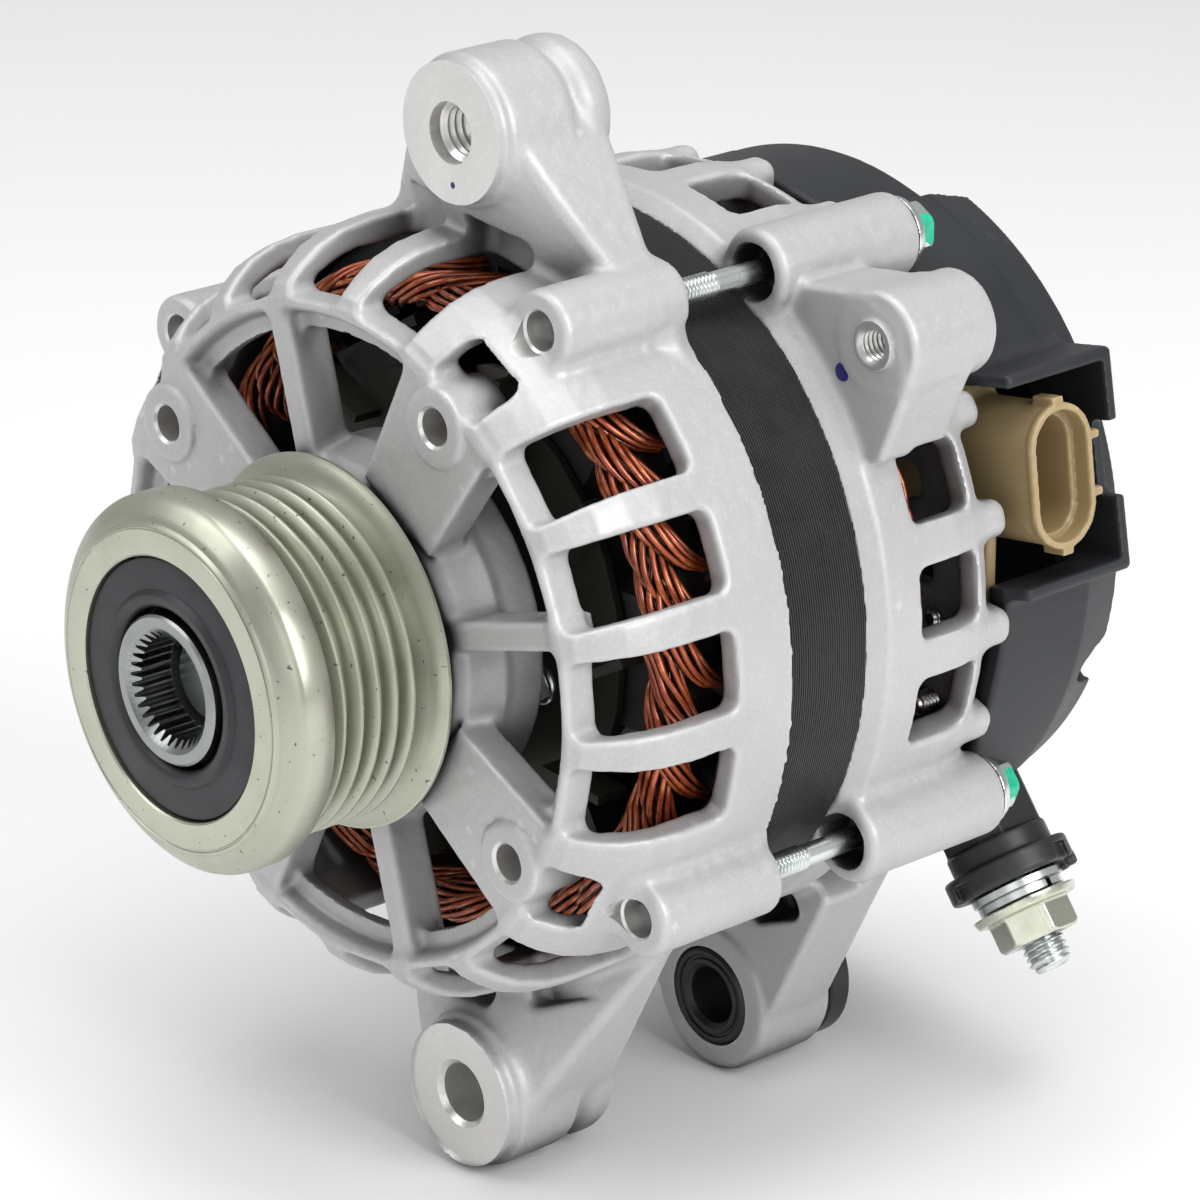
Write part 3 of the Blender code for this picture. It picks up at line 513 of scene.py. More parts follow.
def cast_look():
    look = Look("cast_aluminium", (0.50, 0.50, 0.50), 0.5, 0.35)
    blotches = look.noise(38, 5)
    grain = look.noise(1500, 3)
    look.mix_in((0.36, 0.36, 0.365), look.ramp(blotches, 0.35, 0.75, 0, 0.4))
    look.mix_in((0.66, 0.66, 0.66), look.ramp(grain, 0.5, 0.75, 0, 0.3))
    # Painted shade: a dark grey mixed in where nearby surfaces shut the light out.
    look.mix_in((0.16, 0.16, 0.16), look.multiply(look.hollows(9, 0.2, 0.8), 0.7))
    look.mix_in((0.70, 0.70, 0.71), look.multiply(look.edges(0.505, 0.56), 0.4))
    # Painted shadow: near black deep inside the housing, so the recesses look unlit.
    look.mix_in((0.012, 0.012, 0.013), look.hollows(34, 0.12, 0.5))
    look.roughen(blotches, 0.42, 0.56)
    look.bump(grain, 0.05, 0.5)
    look.bump(look.noise(420, 4), 0.06, 0.5)
    return look.material


def machined_look():
    look = Look("machined_aluminium", (0.72, 0.71, 0.69), 0.34, 0.75)
    marks = look.lines(look.along(), 4.0, 3)
    look.mix_in((0.45, 0.45, 0.46), look.ramp(marks, 0.4, 0.7, 0, 0.35))
    look.mix_in((0.82, 0.82, 0.83), look.ramp(look.noise(700, 3), 0.5, 0.8, 0, 0.4))
    look.roughen(look.noise(150, 3), 0.24, 0.42)
    look.bump(look.noise(900, 3), 0.02, 0.4)
    return look.material


def moulded_look(name, colour, worn, roughness, grain=2200, shine=0.5):
    """Moulded plastic: a fine spark-eroded grain, faint scuffs, and paler worn edges."""
    look = Look(name, colour, roughness)
    look.shader.inputs["Specular IOR Level"].default_value = shine
    fine = look.noise(grain, 3)
    cloud = look.noise(55, 5)
    look.mix_in(worn, look.ramp(cloud, 0.45, 0.8, 0, 0.25))
    look.mix_in(worn, look.multiply(look.edges(0.51, 0.58), 0.5))
    # Painted shade: a darker copy of the colour where nearby surfaces shut the light out.
    look.mix_in(tuple(c * 0.35 for c in colour), look.multiply(look.hollows(6, 0.2, 0.8), 0.5))
    scuff = look.noise(260, 6, (1, 0.15, 1))
    look.mix_in(worn, look.ramp(scuff, 0.66, 0.78, 0, 0.45))
    look.roughen(cloud, roughness - 0.06, roughness + 0.08)
    look.bump(fine, 0.03, 0.35)
    return look.material


def metal_look(name, colour, second, roughness, metallic=1.0, marks=3.0, around=False, specks=None):
    """Bare or plated metal with turning marks along or across the shaft, blotches and fine pits."""
    look = Look(name, colour, roughness, metallic)
    turned_marks = look.lines(look.radius() if around else look.along(), marks, 3)
    look.mix_in(second, look.ramp(turned_marks, 0.38, 0.72, 0, 0.45))
    look.mix_in(tuple(min(c * 1.25, 1) for c in colour), look.multiply(look.edges(0.51, 0.57), 0.6))
    # Painted shade: a darker copy of the colour where nearby surfaces shut the light out.
    look.mix_in(tuple(c * 0.3 for c in colour), look.multiply(look.hollows(4, 0.2, 0.8), 0.5))
    cloud = look.noise(120, 5)
    look.mix_in(second, look.ramp(cloud, 0.5, 0.8, 0, 0.4))
    if specks:
        look.mix_in(specks, look.ramp(look.noise(900, 2), 0.69, 0.72, 0, 0.8))
    look.roughen(cloud, roughness - 0.07, roughness + 0.1)
    look.bump(turned_marks, 0.02, 0.25)
    look.bump(look.noise(1300, 3), 0.02, 0.3)
    return look.material


def lamination_look():
    look = Look("lamination_steel", (0.006, 0.006, 0.0075), 0.4, 0.0)
    sheets = look.lines(look.along(), 2.0, 1)
    look.mix_in((0.014, 0.014, 0.016), look.ramp(sheets, 0.4, 0.65, 0, 0.8))
    look.mix_in((0.03, 0.027, 0.024), look.ramp(look.noise(90, 5), 0.6, 0.8, 0, 0.4))
    look.mix_in((0.05, 0.05, 0.055), look.multiply(look.edges(0.5, 0.54), 0.35))
    look.roughen(look.noise(200, 4), 0.34, 0.55)
    look.bump(look.noise(1500, 2), 0.02, 0.4)
    return look.material


def copper_look():
    look = Look("enamelled_copper", (0.50, 0.10, 0.03), 0.2, 0.35)
    look.shader.inputs["Coat Weight"].default_value = 0.7
    look.shader.inputs["Coat Roughness"].default_value = 0.12
    look.mix_in((0.22, 0.034, 0.012), look.ramp(look.noise(160, 4), 0.35, 0.7, 0, 0.7))
    look.mix_in((0.85, 0.25, 0.08), look.ramp(look.noise(420, 3), 0.5, 0.72, 0, 0.7))
    # Painted shade: near black in the gaps between the wires, where nearby wires shut the light out.
    look.mix_in((0.006, 0.003, 0.003), look.multiply(look.hollows(4.5, 0.2, 0.85), 0.95))
    look.roughen(look.noise(300, 3), 0.16, 0.32)
    look.bump(look.noise(800, 2), 0.03, 0.4)
    return look.material


def paint_look(name, colour, second):
    look = Look(name, colour, 0.35)
    look.mix_in(second, look.ramp(look.noise(500, 4), 0.4, 0.7, 0, 0.7))
    look.roughen(look.noise(300, 3), 0.25, 0.5)
    look.bump(look.noise(700, 3), 0.08, 0.5)
    return look.material


CAST = cast_look()
MACHINED = machined_look()
LAMINATION = lamination_look()
COPPER = copper_look()
# A near-black material for rings that are painted shade behind the end turns, not a part.
SHADE_RING = moulded_look("painted_shade_ring", (0.012, 0.009, 0.008), (0.03, 0.02, 0.015), 0.45)
STEEL = metal_look("bearing_steel", (0.30, 0.31, 0.31), (0.18, 0.19, 0.19), 0.3)
IRON = metal_look("forged_iron", (0.06, 0.058, 0.056), (0.03, 0.029, 0.028), 0.5, 0.6)
ZINC = metal_look("zinc_plate", (0.74, 0.78, 0.77), (0.55, 0.60, 0.58), 0.27)
FAN_PLATE = metal_look("fan_plate", (0.05, 0.05, 0.04), (0.025, 0.025, 0.02), 0.45, 0.6, 1.5, True)
PULLEY = metal_look(
    "pulley_plate", (0.45, 0.455, 0.375), (0.37, 0.385, 0.31), 0.33, 0.8, 5.0, True, (0.05, 0.05, 0.04)
)
CAP = metal_look("pressed_cap", (0.036, 0.037, 0.041), (0.024, 0.024, 0.027), 0.42, 0.4, 5.0, True)
BLACK_STEEL = metal_look("black_steel", (0.035, 0.035, 0.038), (0.07, 0.065, 0.06), 0.4, 0.7)
BRASS = metal_look("slip_ring_bronze", (0.62, 0.36, 0.20), (0.45, 0.24, 0.13), 0.25)
PLASTIC = moulded_look("black_plastic", (0.012, 0.0135, 0.0165), (0.035, 0.038, 0.044), 0.46)
TOWER = moulded_look("tower_plastic", (0.016, 0.017, 0.019), (0.05, 0.05, 0.055), 0.4)
TAN = moulded_look("tan_plastic", (0.34, 0.25, 0.125), (0.60, 0.47, 0.27), 0.42)
RUBBER = moulded_look("seal_rubber", (0.012, 0.012, 0.013), (0.03, 0.03, 0.03), 0.6)
CARBON = moulded_look("pressed_carbon", (0.02, 0.02, 0.02), (0.07, 0.07, 0.07), 0.5, 3000)
NYLON = moulded_look("white_nylon", (0.62, 0.60, 0.54), (0.72, 0.70, 0.64), 0.45)
INK = paint_look("blue_ink", (0.012, 0.012, 0.11), (0.03, 0.03, 0.2))
GREEN = paint_look("green_paint", (0.01, 0.42, 0.25), (0.02, 0.60, 0.38))
NUT = metal_look("terminal_nut_plate", (0.66, 0.70, 0.62), (0.62, 0.55, 0.32), 0.25)
# ---------------------------------------------------------------- front bracket

FACE_Y = -16.0
BOSS_FACE_Y = FACE_Y - 0.9
FRONT_RIM_Y = 24.0
FRONT_SEAT_Y = 17.2     # where the seat for the stator starts
OVERRUN = 5.0     # how far a drill starts before the face it opens
WINDOW_DRAFT = 0.035     # how a window widens outwards


def threaded_hole(centre, bore, crest, pitch, y_from, y_to, mouth_r, depth=0.0):
    """A cutter for a tapped hole that opens towards -Y: counterbore, chamfer, and grooves at the pitch."""
    first = y_from + depth + (mouth_r - bore) * 0.8
    profile = [(0, y_from - OVERRUN), (mouth_r, y_from - OVERRUN), (mouth_r, y_from + depth), (bore, first)]
    y = first + 0.1
    while y + pitch < y_to:
        profile += [(bore, y + pitch * 0.12), (crest, y + pitch * 0.5), (bore, y + pitch * 0.88)]
        y += pitch
    profile += [(bore, y_to), (0, y_to)]
    return turned("cutter", profile, MACHINED, 48, centre)


def plain_hole(centre, radius, y_from, y_to, mouth=0.0, segments=48):
    """A cutter for a drilled hole through y_from to y_to, chamfered at the -Y end."""
    profile = [(0, y_from - OVERRUN)]
    if mouth:
        profile += [(radius + mouth, y_from - OVERRUN), (radius + mouth, y_from), (radius, y_from + mouth)]
    else:
        profile += [(radius, y_from - OVERRUN)]
    profile += [(radius, y_to), (0, y_to)]
    return turned("cutter", profile, MACHINED, segments, centre)


def spot_face(centre, radius, y):
    """A cutter that leaves a flat machined circle at y."""
    profile = [(0, y - OVERRUN), (radius, y - OVERRUN), (radius, y), (0, y)]
    return turned("cutter", profile, MACHINED, 96, centre)


def bar_window(angle, half_width, inner_r, y_rear, outer_r=70.0, corner=2.0, y_front=-30.0):
    """A cooling window's cutter, with all its corners rounded."""
    turn = math.radians(angle)
    c, s = math.cos(turn), math.sin(turn)
    middle, half = (y_front + y_rear) / 2, (y_rear - y_front) / 2

    def distance(x, y, z):
        u, w = x * c + z * s, np.abs(z * c - x * s)
        side = w - half_width - WINDOW_DRAFT * (u - 60)
        ends = rounded(side, np.abs(y - middle) - half, corner)
        return np.maximum(ends, rounded(side, np.maximum(inner_r - u, u - outer_r), corner))

    corners = [(u * c - w * s, u * s + w * c) for u in (inner_r, outer_r) for w in (-9, 9)]
    xs, zs = zip(*corners)
    return (min(xs), y_front, min(zs)), (max(xs), y_rear, max(zs)), distance


def front_bracket():
    field = Field((-78, -19, -100), (78, 28, 100), 0.5)
    inner = [(SEAT_R, FRONT_SEAT_Y), (61.4, FRONT_SEAT_Y), (61.4, 0), (60.6, -4), (58.8, -8.5), (57.6, -9.6)]
    shell = [
        (SHELL_R, FRONT_RIM_Y), (SHELL_R, 3), (65.2, -3), (63.6, -8), (61.2, -12), (58.8, -14.9),
        (57.2, -15.6), (56.6, FACE_Y), (55.2, FACE_Y), (54.4, -15.2), (53.6, -12.6), (51.0, -12.2),
        (51.0, -9.6), *inner[::-1], (SEAT_R, FRONT_RIM_Y),
    ]
    field.add(turned_shape(shell))
    for angle in BOLT_ANGLES:
        field.add(disc(polar(BOLT_R, angle), 6.6, -2.6, FRONT_RIM_Y, edge=1.2), 3.0)
    for ear, web_r, ear_r in ((UPPER_EAR, 11.0, 12.5), (LOWER_EAR, 12.0, 13.6)):
        field.add(ear_web(ear, web_r, 61.0, 2.4, 22.4, 1.6, lean=0.5), 2.4)
        field.add(disc(ear, ear_r, 1.8, 15.6, edge=1.4), 1.4)
        field.add(disc(ear, ear_r - 0.2, 16.6, 25.0, edge=3.6), 0.8)
        field.add(disc(ear, ear_r - 0.9, -0.9, 4.0, edge=0.3), 0.3)
    field.cut(turned_shape([(0, 60), (SEAT_R, 60), *inner, (0, -9.6)]), 0.4)

    for middle in QUADRANTS:
        for offset in WINDOW_OFFSETS:
            field.cut(bar_window(middle + offset, 6.5, 56.4, 12.2), 1.0)
        field.cut(bar_window(middle + 45, 6.2, 55.6, 6.0, 62.6), 1.0)

    hub = [
        (30.8, 1), (30.8, -5), (31.2, -7), (29.6, -13), (28, -14.6),
        (13.5, -14.6), (13.5, -12), (24, -12), (24, 1),
    ]
    field.add(turned_shape(hub, 0.6), 1.4)
    for middle in QUADRANTS:
        arm = middle + 45
        field.add(bar((29, -9.2), (55.4, 9.2), arm, FACE_Y, -8.5, edge=1.0, end_width=23.0), 2.0)
        field.add(disc(polar(BOSS_R, arm), 6.7, BOSS_FACE_Y, -6, edge=0.4), 0.5)
        field.add(bar((29, -2.4), (55.4, 2.4), middle + 2, FACE_Y + 0.4, -7, edge=1.2), 2.0)
    field.roughen(0.02, 3)
    body = field.mesh("front_bracket_casting", CAST)

    for angle in BOLT_ANGLES:
        body = boolean(body, plain_hole(polar(BOLT_R, angle), 3.3, -2.6, 30, 0.4, 32))
        body = boolean(body, plain_hole(polar(BOSS_R, angle), 3.1, BOSS_FACE_Y, 0, 0.5, 32))
    for centre, reach in ((UPPER_EAR, 11.7), (LOWER_EAR, 12.6)):
        body = boolean(body, spot_face(centre, reach, 0.0))
    body = boolean(body, threaded_hole(UPPER_EAR, 4.15, 4.75, 1.5, 0, 28, 5.1, 2.2))
    body = boolean(body, plain_hole(LOWER_EAR, 5.25, 0, 30, 0.9))
    placed(body, "housing", "front_bracket")

    ink_dot("ink_dot", [(0, -0.04), (0.45, -0.04), (0.55, 0.0), (0.55, 0.1), (0, 0.1)], (11.6, 76.0))


def ink_dot(name, profile, centre):
    placed(turned(name, profile, INK, 20, centre), "housing")


# ---------------------------------------------------------------- rear bracket

REAR_RIM_Y = 43.1
FINGER_OFFSETS = (-34.6, -17.3, 0.0, 17.3, 34.6)


def rear_bracket():
    field = Field((-78, 41, -100), (78, 79, 80), 0.55)
    shell = [
        (63.0, REAR_RIM_Y), (65.4, 46.2), (65.4, 63.0), (64.4, 68.0), (62.6, 71.4), (60.0, 72.8),
        (40.0, 73.0), (30.0, 74.2), (22.0, 76.2), (11.5, 76.4), (11.5, 75.3), (17.8, 75.3), (17.8, 64.0),
        (22.5, 64.0), (22.5, 70.4), (58.9, 70.4), (58.9, REAR_RIM_Y),
    ]
    field.add(turned_shape(shell))
    for middle in QUADRANTS:
        for offset in FINGER_OFFSETS:
            field.add(bar((26, -3.2), (64.4, 3.2), middle + offset, 60.0, 76.4, edge=1.8, corner=2.6), 1.8)
        field.add(disc(polar(BOLT_R, middle + 45), 7.3, REAR_RIM_Y + 0.4, 75.4, edge=1.6), 3.2)
    third_mass = [(59.5, 33.0), (65.0, 46.0), (63.0, 54.0), (56.0, 56.5), (34.0, 53.5)]
    field.add(outline_slab(third_mass, 47.0, 62.0, edge=1.2, rounding=2.4), 2.0)
    field.add(disc(THIRD_EAR, 8.8, 46.9, 66.0, edge=1.0), 1.4)
    field.add(disc(THIRD_EAR, 4.9, 45.4, 50.0, edge=0.2, taper=-0.5), 0.2)
    field.add(ear_web(LOWER_EAR, 12.6, 61.0, 58.6, 73.0, 1.0), 2.0)
    field.add(disc(LOWER_EAR, 13.7, 57.8, 74.6, edge=1.4), 0.8)

    room = [(0, 70.0), (59.3, 70.0), (59.3, 50.0), (62.3, 50.0), (62.3, 30.0), (0, 30.0)]
    field.cut(turned_shape(room), 0.4)
    for middle in QUADRANTS:
        for offset in WINDOW_OFFSETS:
            field.cut(bar_window(middle + offset, 6.0, 56.5, 68.2, y_front=54.0), 1.0)
            field.cut(bar((29.0, -3.2), (51.0, 3.2), middle + offset, 60, 90, corner=2.6), 1.0)
    for middle in QUADRANTS:
        field.cut(disc(polar(BOLT_R, middle + 45), 4.8, 40.0, 50.0, edge=0.6), 0.6)
    field.roughen(0.02, 5)
    body = field.mesh("rear_bracket_casting", CAST)

    for angle in BOLT_ANGLES:
        body = boolean(body, plain_hole(polar(BOLT_R, angle), 3.4, 42, 90, 0, 32))
    body = boolean(body, spot_face(THIRD_EAR, 6.5, 46.0))
    body = boolean(body, threaded_hole(THIRD_EAR, 2.5, 2.95, 1.0, 46.0, 70, 3.2))
    body = boolean(body, plain_hole(LOWER_EAR, 9.2, 57.0, 80, 0.0))
    placed(body, "housing", "rear_bracket")

    dab = [(0, 46.8), (1.35, 46.8), (1.55, 46.9), (1.55, 47.3), (0, 47.3)]
    ink_dot("ink_dot_rear", dab, (52.5, 44.5))


def mounting_bush():
    """A steel bush with a grooved front ring, a chamfered bore and a wide collar behind its ear."""
    profile = [
        (5.2, 58.4), (6.0, 57.6), (6.8, 57.6), (7.0, 57.95), (7.5, 57.95), (7.7, 57.6), (8.3, 57.6),
        (8.9, 58.2), (8.9, 75.2), (12.6, 75.2), (13.0, 75.6), (13.0, 79.5), (12.5, 80.0),
        (6.0, 80.0), (5.2, 79.2),
    ]
    bush = turned("bush", profile, BLACK_STEEL, 96, LOWER_EAR)
    placed(bush, "housing", "mounting_bush")


# ---------------------------------------------------------------- stator

SLOTS = 36
COIL_SPAN = 3     # slots that a coil's ends are apart
WIRES = 10     # in each bundle
WIRE_R = 0.52


def stator_core():
    """The outside of the lamination stack, with one fine ridge a sheet."""
    front, rear, pitch = 17.6, 49.4, 0.5
    profile = [(61.2, front)]
    y = front
    while y < rear:
        profile += [(62.75, y), (63.0, y + 0.12), (63.0, y + 0.36), (62.75, y + 0.48)]
        y += pitch
    profile += [(61.2, y)]
    stack = turned("stator_sheets", profile, LAMINATION, 200, angle=60)
    placed(stack, "housing")


def tube(points, radius, sides=7):
    """A closed tube along points, which are rows of x, y, z."""
    ahead = np.gradient(points, axis=0)
    ahead /= np.linalg.norm(ahead, axis=1)[:, None]
    out = points * np.array([1, 0, 1])
    out /= np.linalg.norm(out, axis=1)[:, None]
    side = np.cross(ahead, out)
    side /= np.linalg.norm(side, axis=1)[:, None]
    up = np.cross(side, ahead)
    turns = np.arange(sides) * 2 * np.pi / sides
    ring = side[:, None] * np.cos(turns)[None, :, None] + up[:, None] * np.sin(turns)[None, :, None]
    verts = (points[:, None] + ring * radius).reshape(-1, 3)
    count = len(points)
    row = np.arange(count - 1)[:, None] * sides
    col = np.arange(sides)[None, :]
    nxt = (col + 1) % sides
    quads = np.stack([row + col, row + nxt, row + sides + nxt, row + sides + col], -1).reshape(-1, 4)
    return verts, quads


def end_turns(name, y_core, direction, height, seed):
    """Bundles of enamelled wire that leave a slot, cross to the slot three along, and twist as they go."""
    shuffle = np.random.default_rng(seed)
    t = np.linspace(0, 1, 26)
    all_verts, all_quads, total = [], [], 0
    for slot in range(SLOTS):
        lean = shuffle.normal(0, 0.7)
        start = math.radians(360 / SLOTS * slot + lean)
        reach = height * (0.93 + 0.07 * shuffle.random())
        rise = np.sin(np.pi * t) ** 0.55
        radius = 56.4 - 4.6 * (3 * t**2 - 2 * t**3) + shuffle.normal(0, 0.15)
        angle = start + math.radians(360 / SLOTS * COIL_SPAN) * t
        twist = shuffle.uniform(2.0, 4.5) * shuffle.choice((-1, 1))
        for wire in range(WIRES):
            turn = 2 * np.pi * wire / (WIRES - 1) + twist * t
            spread = 1.75 * (0.8 + 0.35 * np.sin(np.pi * t)) if wire else 0.0
            wave = 0.25 * np.sin(t * shuffle.uniform(6, 14) + shuffle.uniform(0, 6))
            r = np.minimum(radius + spread * np.cos(turn), 57.7) + wave * 0.3
            depth = np.clip((reach - 2.4) * rise + spread * 1.35 * np.sin(turn) + wave, -1.5, height - 0.7)
            path = np.stack([r * np.cos(angle), y_core + direction * depth, r * np.sin(angle)], 1)
            verts, quads = tube(path, WIRE_R)
            all_verts.append(verts)
            all_quads.append(quads + total)
            total += len(verts)
    body = mesh_object(name, np.concatenate(all_verts), np.concatenate(all_quads), COPPER, 80)
    return placed(body, "housing", "stator_winding")


def windings():
    end_turns("front_end_turns", 17.4, -1, 13.4, 11)
    end_turns("rear_end_turns", 49.6, 1, 13.8, 12)
    # Dark rings under the end turns stand for the shade behind and between the wire bundles.
    for name, y_from, y_to in (("front_shade_ring", 9.5, 17.2), ("rear_shade_ring", 49.8, 57.5)):
        ring = turned(name, [(51.0, y_from), (54.6, y_from), (54.6, y_to), (51.0, y_to)], SHADE_RING, 144)
        placed(ring, "housing")


# ---------------------------------------------------------------- overrunning pulley

RIB_PITCH = 3.56
FIRST_RIB_Y = -38.0
RIB_R = 28.96
GROOVE_R = 26.1
GROOVES = 6
SOCKET_TEETH = 33


def rib_points(side_r, middle_r, y, outer, inner):
    """Four points of a groove's bottom or a rib's crest, rounded off at its sides."""
    return [(side_r, y - outer), (middle_r, y - inner), (middle_r, y + inner), (side_r, y + outer)]


def pulley_rim():
    """The grooved rim, with its stepped front face and its rear flange."""
    outline = [
        (22.0, -50.5), (22.3, -50.8), (26.4, -50.8), (26.5, -50.62), (26.75, -50.62), (26.9, -50.8),
        (27.3, -50.6), (27.6, -50.2), (28.2, -50.0), (28.9, -49.6), (29.5, -49.1), (30.5, -48.4),
        (31.3, -47.6), (31.6, -46.8), (31.6, -42.6), (31.3, -42.0), (30.6, -41.75),
    ]
    for index in range(GROOVES):
        bottom = FIRST_RIB_Y - RIB_PITCH / 2 + RIB_PITCH * index
        outline += rib_points(GROOVE_R + 0.25, GROOVE_R, bottom, 0.62, 0.3)
        if index < GROOVES - 1:
            outline += rib_points(RIB_R - 0.16, RIB_R, bottom + RIB_PITCH / 2, 0.34, 0.16)
    outline += [
        (29.2, -19.95), (29.7, -19.8), (30.9, -19.15), (31.1, -19.0), (31.6, -18.75), (31.6, -18.25),
        (31.3, -18.0), (21.0, -18.0), (21.0, -20.5), (18.0, -20.5), (18.0, -47.5), (22.0, -47.5),
    ]
    rim = turned("pulley_rim_turned", outline, PULLEY, 256)
    placed(rim, "pulley", "pulley_rim")


def pulley_cap():
    """The pressed dust cap in front of the clutch and the seal behind it."""
    cap = [
        (13.5, -49.9), (13.9, -50.55), (14.6, -50.95), (15.6, -50.95), (16.1, -50.6), (16.5, -50.15),
        (20.9, -50.15), (21.5, -50.0), (21.75, -49.6), (21.75, -48.6), (13.5, -48.6),
    ]
    placed(turned("dust_cap_pressed", cap, CAP, 192), "pulley", "pulley_dust_cap")
    seal = [
        (12.9, -20.0), (13.3, -20.2), (14.6, -19.4), (16.0, -20.2), (20.4, -20.2),
        (20.7, -19.9), (20.7, -18.6), (20.4, -18.4), (13.6, -18.4), (12.9, -18.9),
    ]
    placed(turned("rear_seal_lip", seal, RUBBER, 144), "pulley", "pulley_rear_seal")


def star_prism(name, points, y_from, y_to, material):
    """A prism with this (x, z) outline, closed at both ends."""
    count = len(points)
    shape = bmesh.new()
    places = into_frame([(x, y, z) for y in (y_from, y_to) for x, z in points])
    made = [shape.verts.new(place) for place in places]
    shape.faces.new(made[:count])
    shape.faces.new(made[count:][::-1])
    for i in range(count):
        j = (i + 1) % count
        shape.faces.new((made[i], made[i + count], made[j + count], made[j]))
    bmesh.ops.recalc_face_normals(shape, faces=shape.faces)
    mesh = bpy.data.meshes.new(name)
    shape.to_mesh(mesh)
    shape.free()
    return linked(name, mesh, material, 30)


def pulley_hub():
    """The clutch's inner ring, with a toothed socket and the smaller bore behind it."""
    body = [
        (12.2, -17.2), (12.2, -20.0), (13.2, -21.0), (13.2, -46.5), (12.5, -47.0), (12.5, -50.9),
        (12.1, -51.3), (10.5, -51.3), (9.9, -50.9), (8.2, -49.2), (8.2, -17.2),
    ]
    hub = turned("hub_ring", body, STEEL, 6 * SOCKET_TEETH)
    tooth = ((0.0, 8.45), (0.12, 8.5), (0.36, 9.65), (0.5, 9.72), (0.64, 9.65), (0.88, 8.5))
    outline = []
    for index in range(SOCKET_TEETH):
        outline += [polar(radius, 360 / SOCKET_TEETH * (index + part)) for part, radius in tooth]
    hub = boolean(hub, star_prism("socket", outline, -60, -43.7, STEEL), angle=30)
    placed(hub, "rotor", "pulley_hub")


# ---------------------------------------------------------------- fasteners

RETAINER_SCREW_R = 27.8
RETAINER_SCREW_ANGLE = 20.0     # from each through bolt


def threaded_rod(name, minor, major, pitch, y_from, y_to, centre=(0, 0), smooth_from=None, shank=None):
    """A plated rod with a helical thread, and from smooth_from to y_to a plain shank of that radius."""
    segments, rows_a_turn = 40, 8
    thread_end = y_to if smooth_from is None else smooth_from
    rows = np.arange(y_from, thread_end, pitch / rows_a_turn)
    turn = np.arange(segments) / segments
    phase = (rows[:, None] / pitch - turn[None, :]) % 1
    height = 1 - np.abs(phase * 2 - 1)
    fade = np.clip((rows - y_from) / (pitch * 1.2), 0, 1)[:, None]
    radius = minor + (major - minor) * np.clip(height * 1.5 - 0.25, 0, 1) * fade - (1 - fade) * 0.5
    ys = rows[:, None] + turn[None, :] * 0
    if smooth_from is not None:
        for r, y in ((shank - 0.4, smooth_from), (shank, smooth_from + 0.5), (shank, y_to)):
            radius = np.vstack([radius, np.full((1, segments), r)])
            ys = np.vstack([ys, np.full((1, segments), y)])
    cx, cz = centre
    angle = turn[None, :] * 2 * np.pi
    verts = np.stack([cx + radius * np.cos(angle), ys, cz + radius * np.sin(angle)], -1)
    count = len(verts)
    row = np.arange(count - 1)[:, None] * segments
    col = np.arange(segments)[None, :]
    nxt = (col + 1) % segments
    quads = np.stack([row + nxt, row + col, row + segments + col, row + segments + nxt], -1).reshape(-1, 4)
    faces = [tuple(q) for q in quads.tolist()]
    faces.append(tuple(range(segments)))
    faces.append(tuple(range((count - 1) * segments, count * segments))[::-1])
    mesh = bpy.data.meshes.new(name)
    mesh.from_pydata(into_frame(verts.reshape(-1, 3)).tolist(), [], faces)
    mesh.update()
    return linked(name, mesh, ZINC, 35)


def hex_outline(centre, across_flats, turn=0.0):
    cx, cz = centre

    def outline(x, z):
        side = -1e9
        for i in range(6):
            ux, uz = polar(1, 60 * i + turn)
            side = np.maximum(side, (x - cx) * ux + (z - cz) * uz - across_flats / 2)
        return side

    return outline


def hex_head(name, centre, across_flats, y_from, y_to, flange_r, flange_y, material, turn=0.0, dished=True):
    """A flanged hexagon head, chamfered at its free end y_to, with a shallow dish in the top."""
    cx, cz = centre
    away = 1 if y_to > y_from else -1
    reach = across_flats * 0.62
    low_y, high_y = sorted((flange_y, y_to))
    pad = max(flange_r, reach) + 1
    field = Field((cx - pad, low_y - 1, cz - pad), (cx + pad, high_y + 1, cz + pad), 0.22)
    span = ((cx - reach, cz - reach), (cx + reach, cz + reach))
    head = slab(hex_outline(centre, across_flats, turn), span, y_from, y_to, 0.25)
    cone = lambda x, y, z: (np.hypot(x - cx, z - cz) + away * (y - y_to) - across_flats * 0.52) * 0.7071
    field.add(both(head, (head[0], head[1], cone)))
    if flange_r:
        field.add(disc(centre, flange_r, flange_y, y_from + away * 0.4, edge=0.3, taper=0.35 * away), 0.8)
    if dished:
        low, high = y_to - away * 0.5, y_to + away * 3
        field.cut(disc(centre, across_flats * 0.30, low, high, edge=0.2, taper=-0.8 * away), 0.3)
    return field.mesh(name, material)


def joined(name, pieces):
    """One object from several closed ones."""
    bpy.context.view_layer.update()
    chosen = {"active_object": pieces[0], "selected_editable_objects": pieces, "selected_objects": pieces}
    with bpy.context.temp_override(**chosen):
        bpy.ops.object.join()
    pieces[0].name = name
    return pieces[0]


def daubed(obj, point, radius, material, seed):
    """Paints the faces near a point, given in drawing millimetres, with a ragged edge."""
    obj.data.materials.append(material)
    index = len(obj.data.materials) - 1
    middle = np.empty(len(obj.data.polygons) * 3, np.float32)
    obj.data.polygons.foreach_get("center", middle)
    middle = middle.reshape(-1, 3) / MM - np.array([0, DATUM_Y / MM, 0]) - np.array(point)
    shuffle = np.random.default_rng(seed)
    ragged = sum(np.sin(middle @ shuffle.normal(0, 1.6, 3) + shuffle.uniform(0, 6)) for _ in range(4)) * 0.12
    near = np.linalg.norm(middle, axis=1) < radius * (1 + ragged)
    chosen = np.empty(len(obj.data.polygons), np.int32)
    obj.data.polygons.foreach_get("material_index", chosen)
    chosen[near] = index
    obj.data.polygons.foreach_set("material_index", chosen)
    return obj


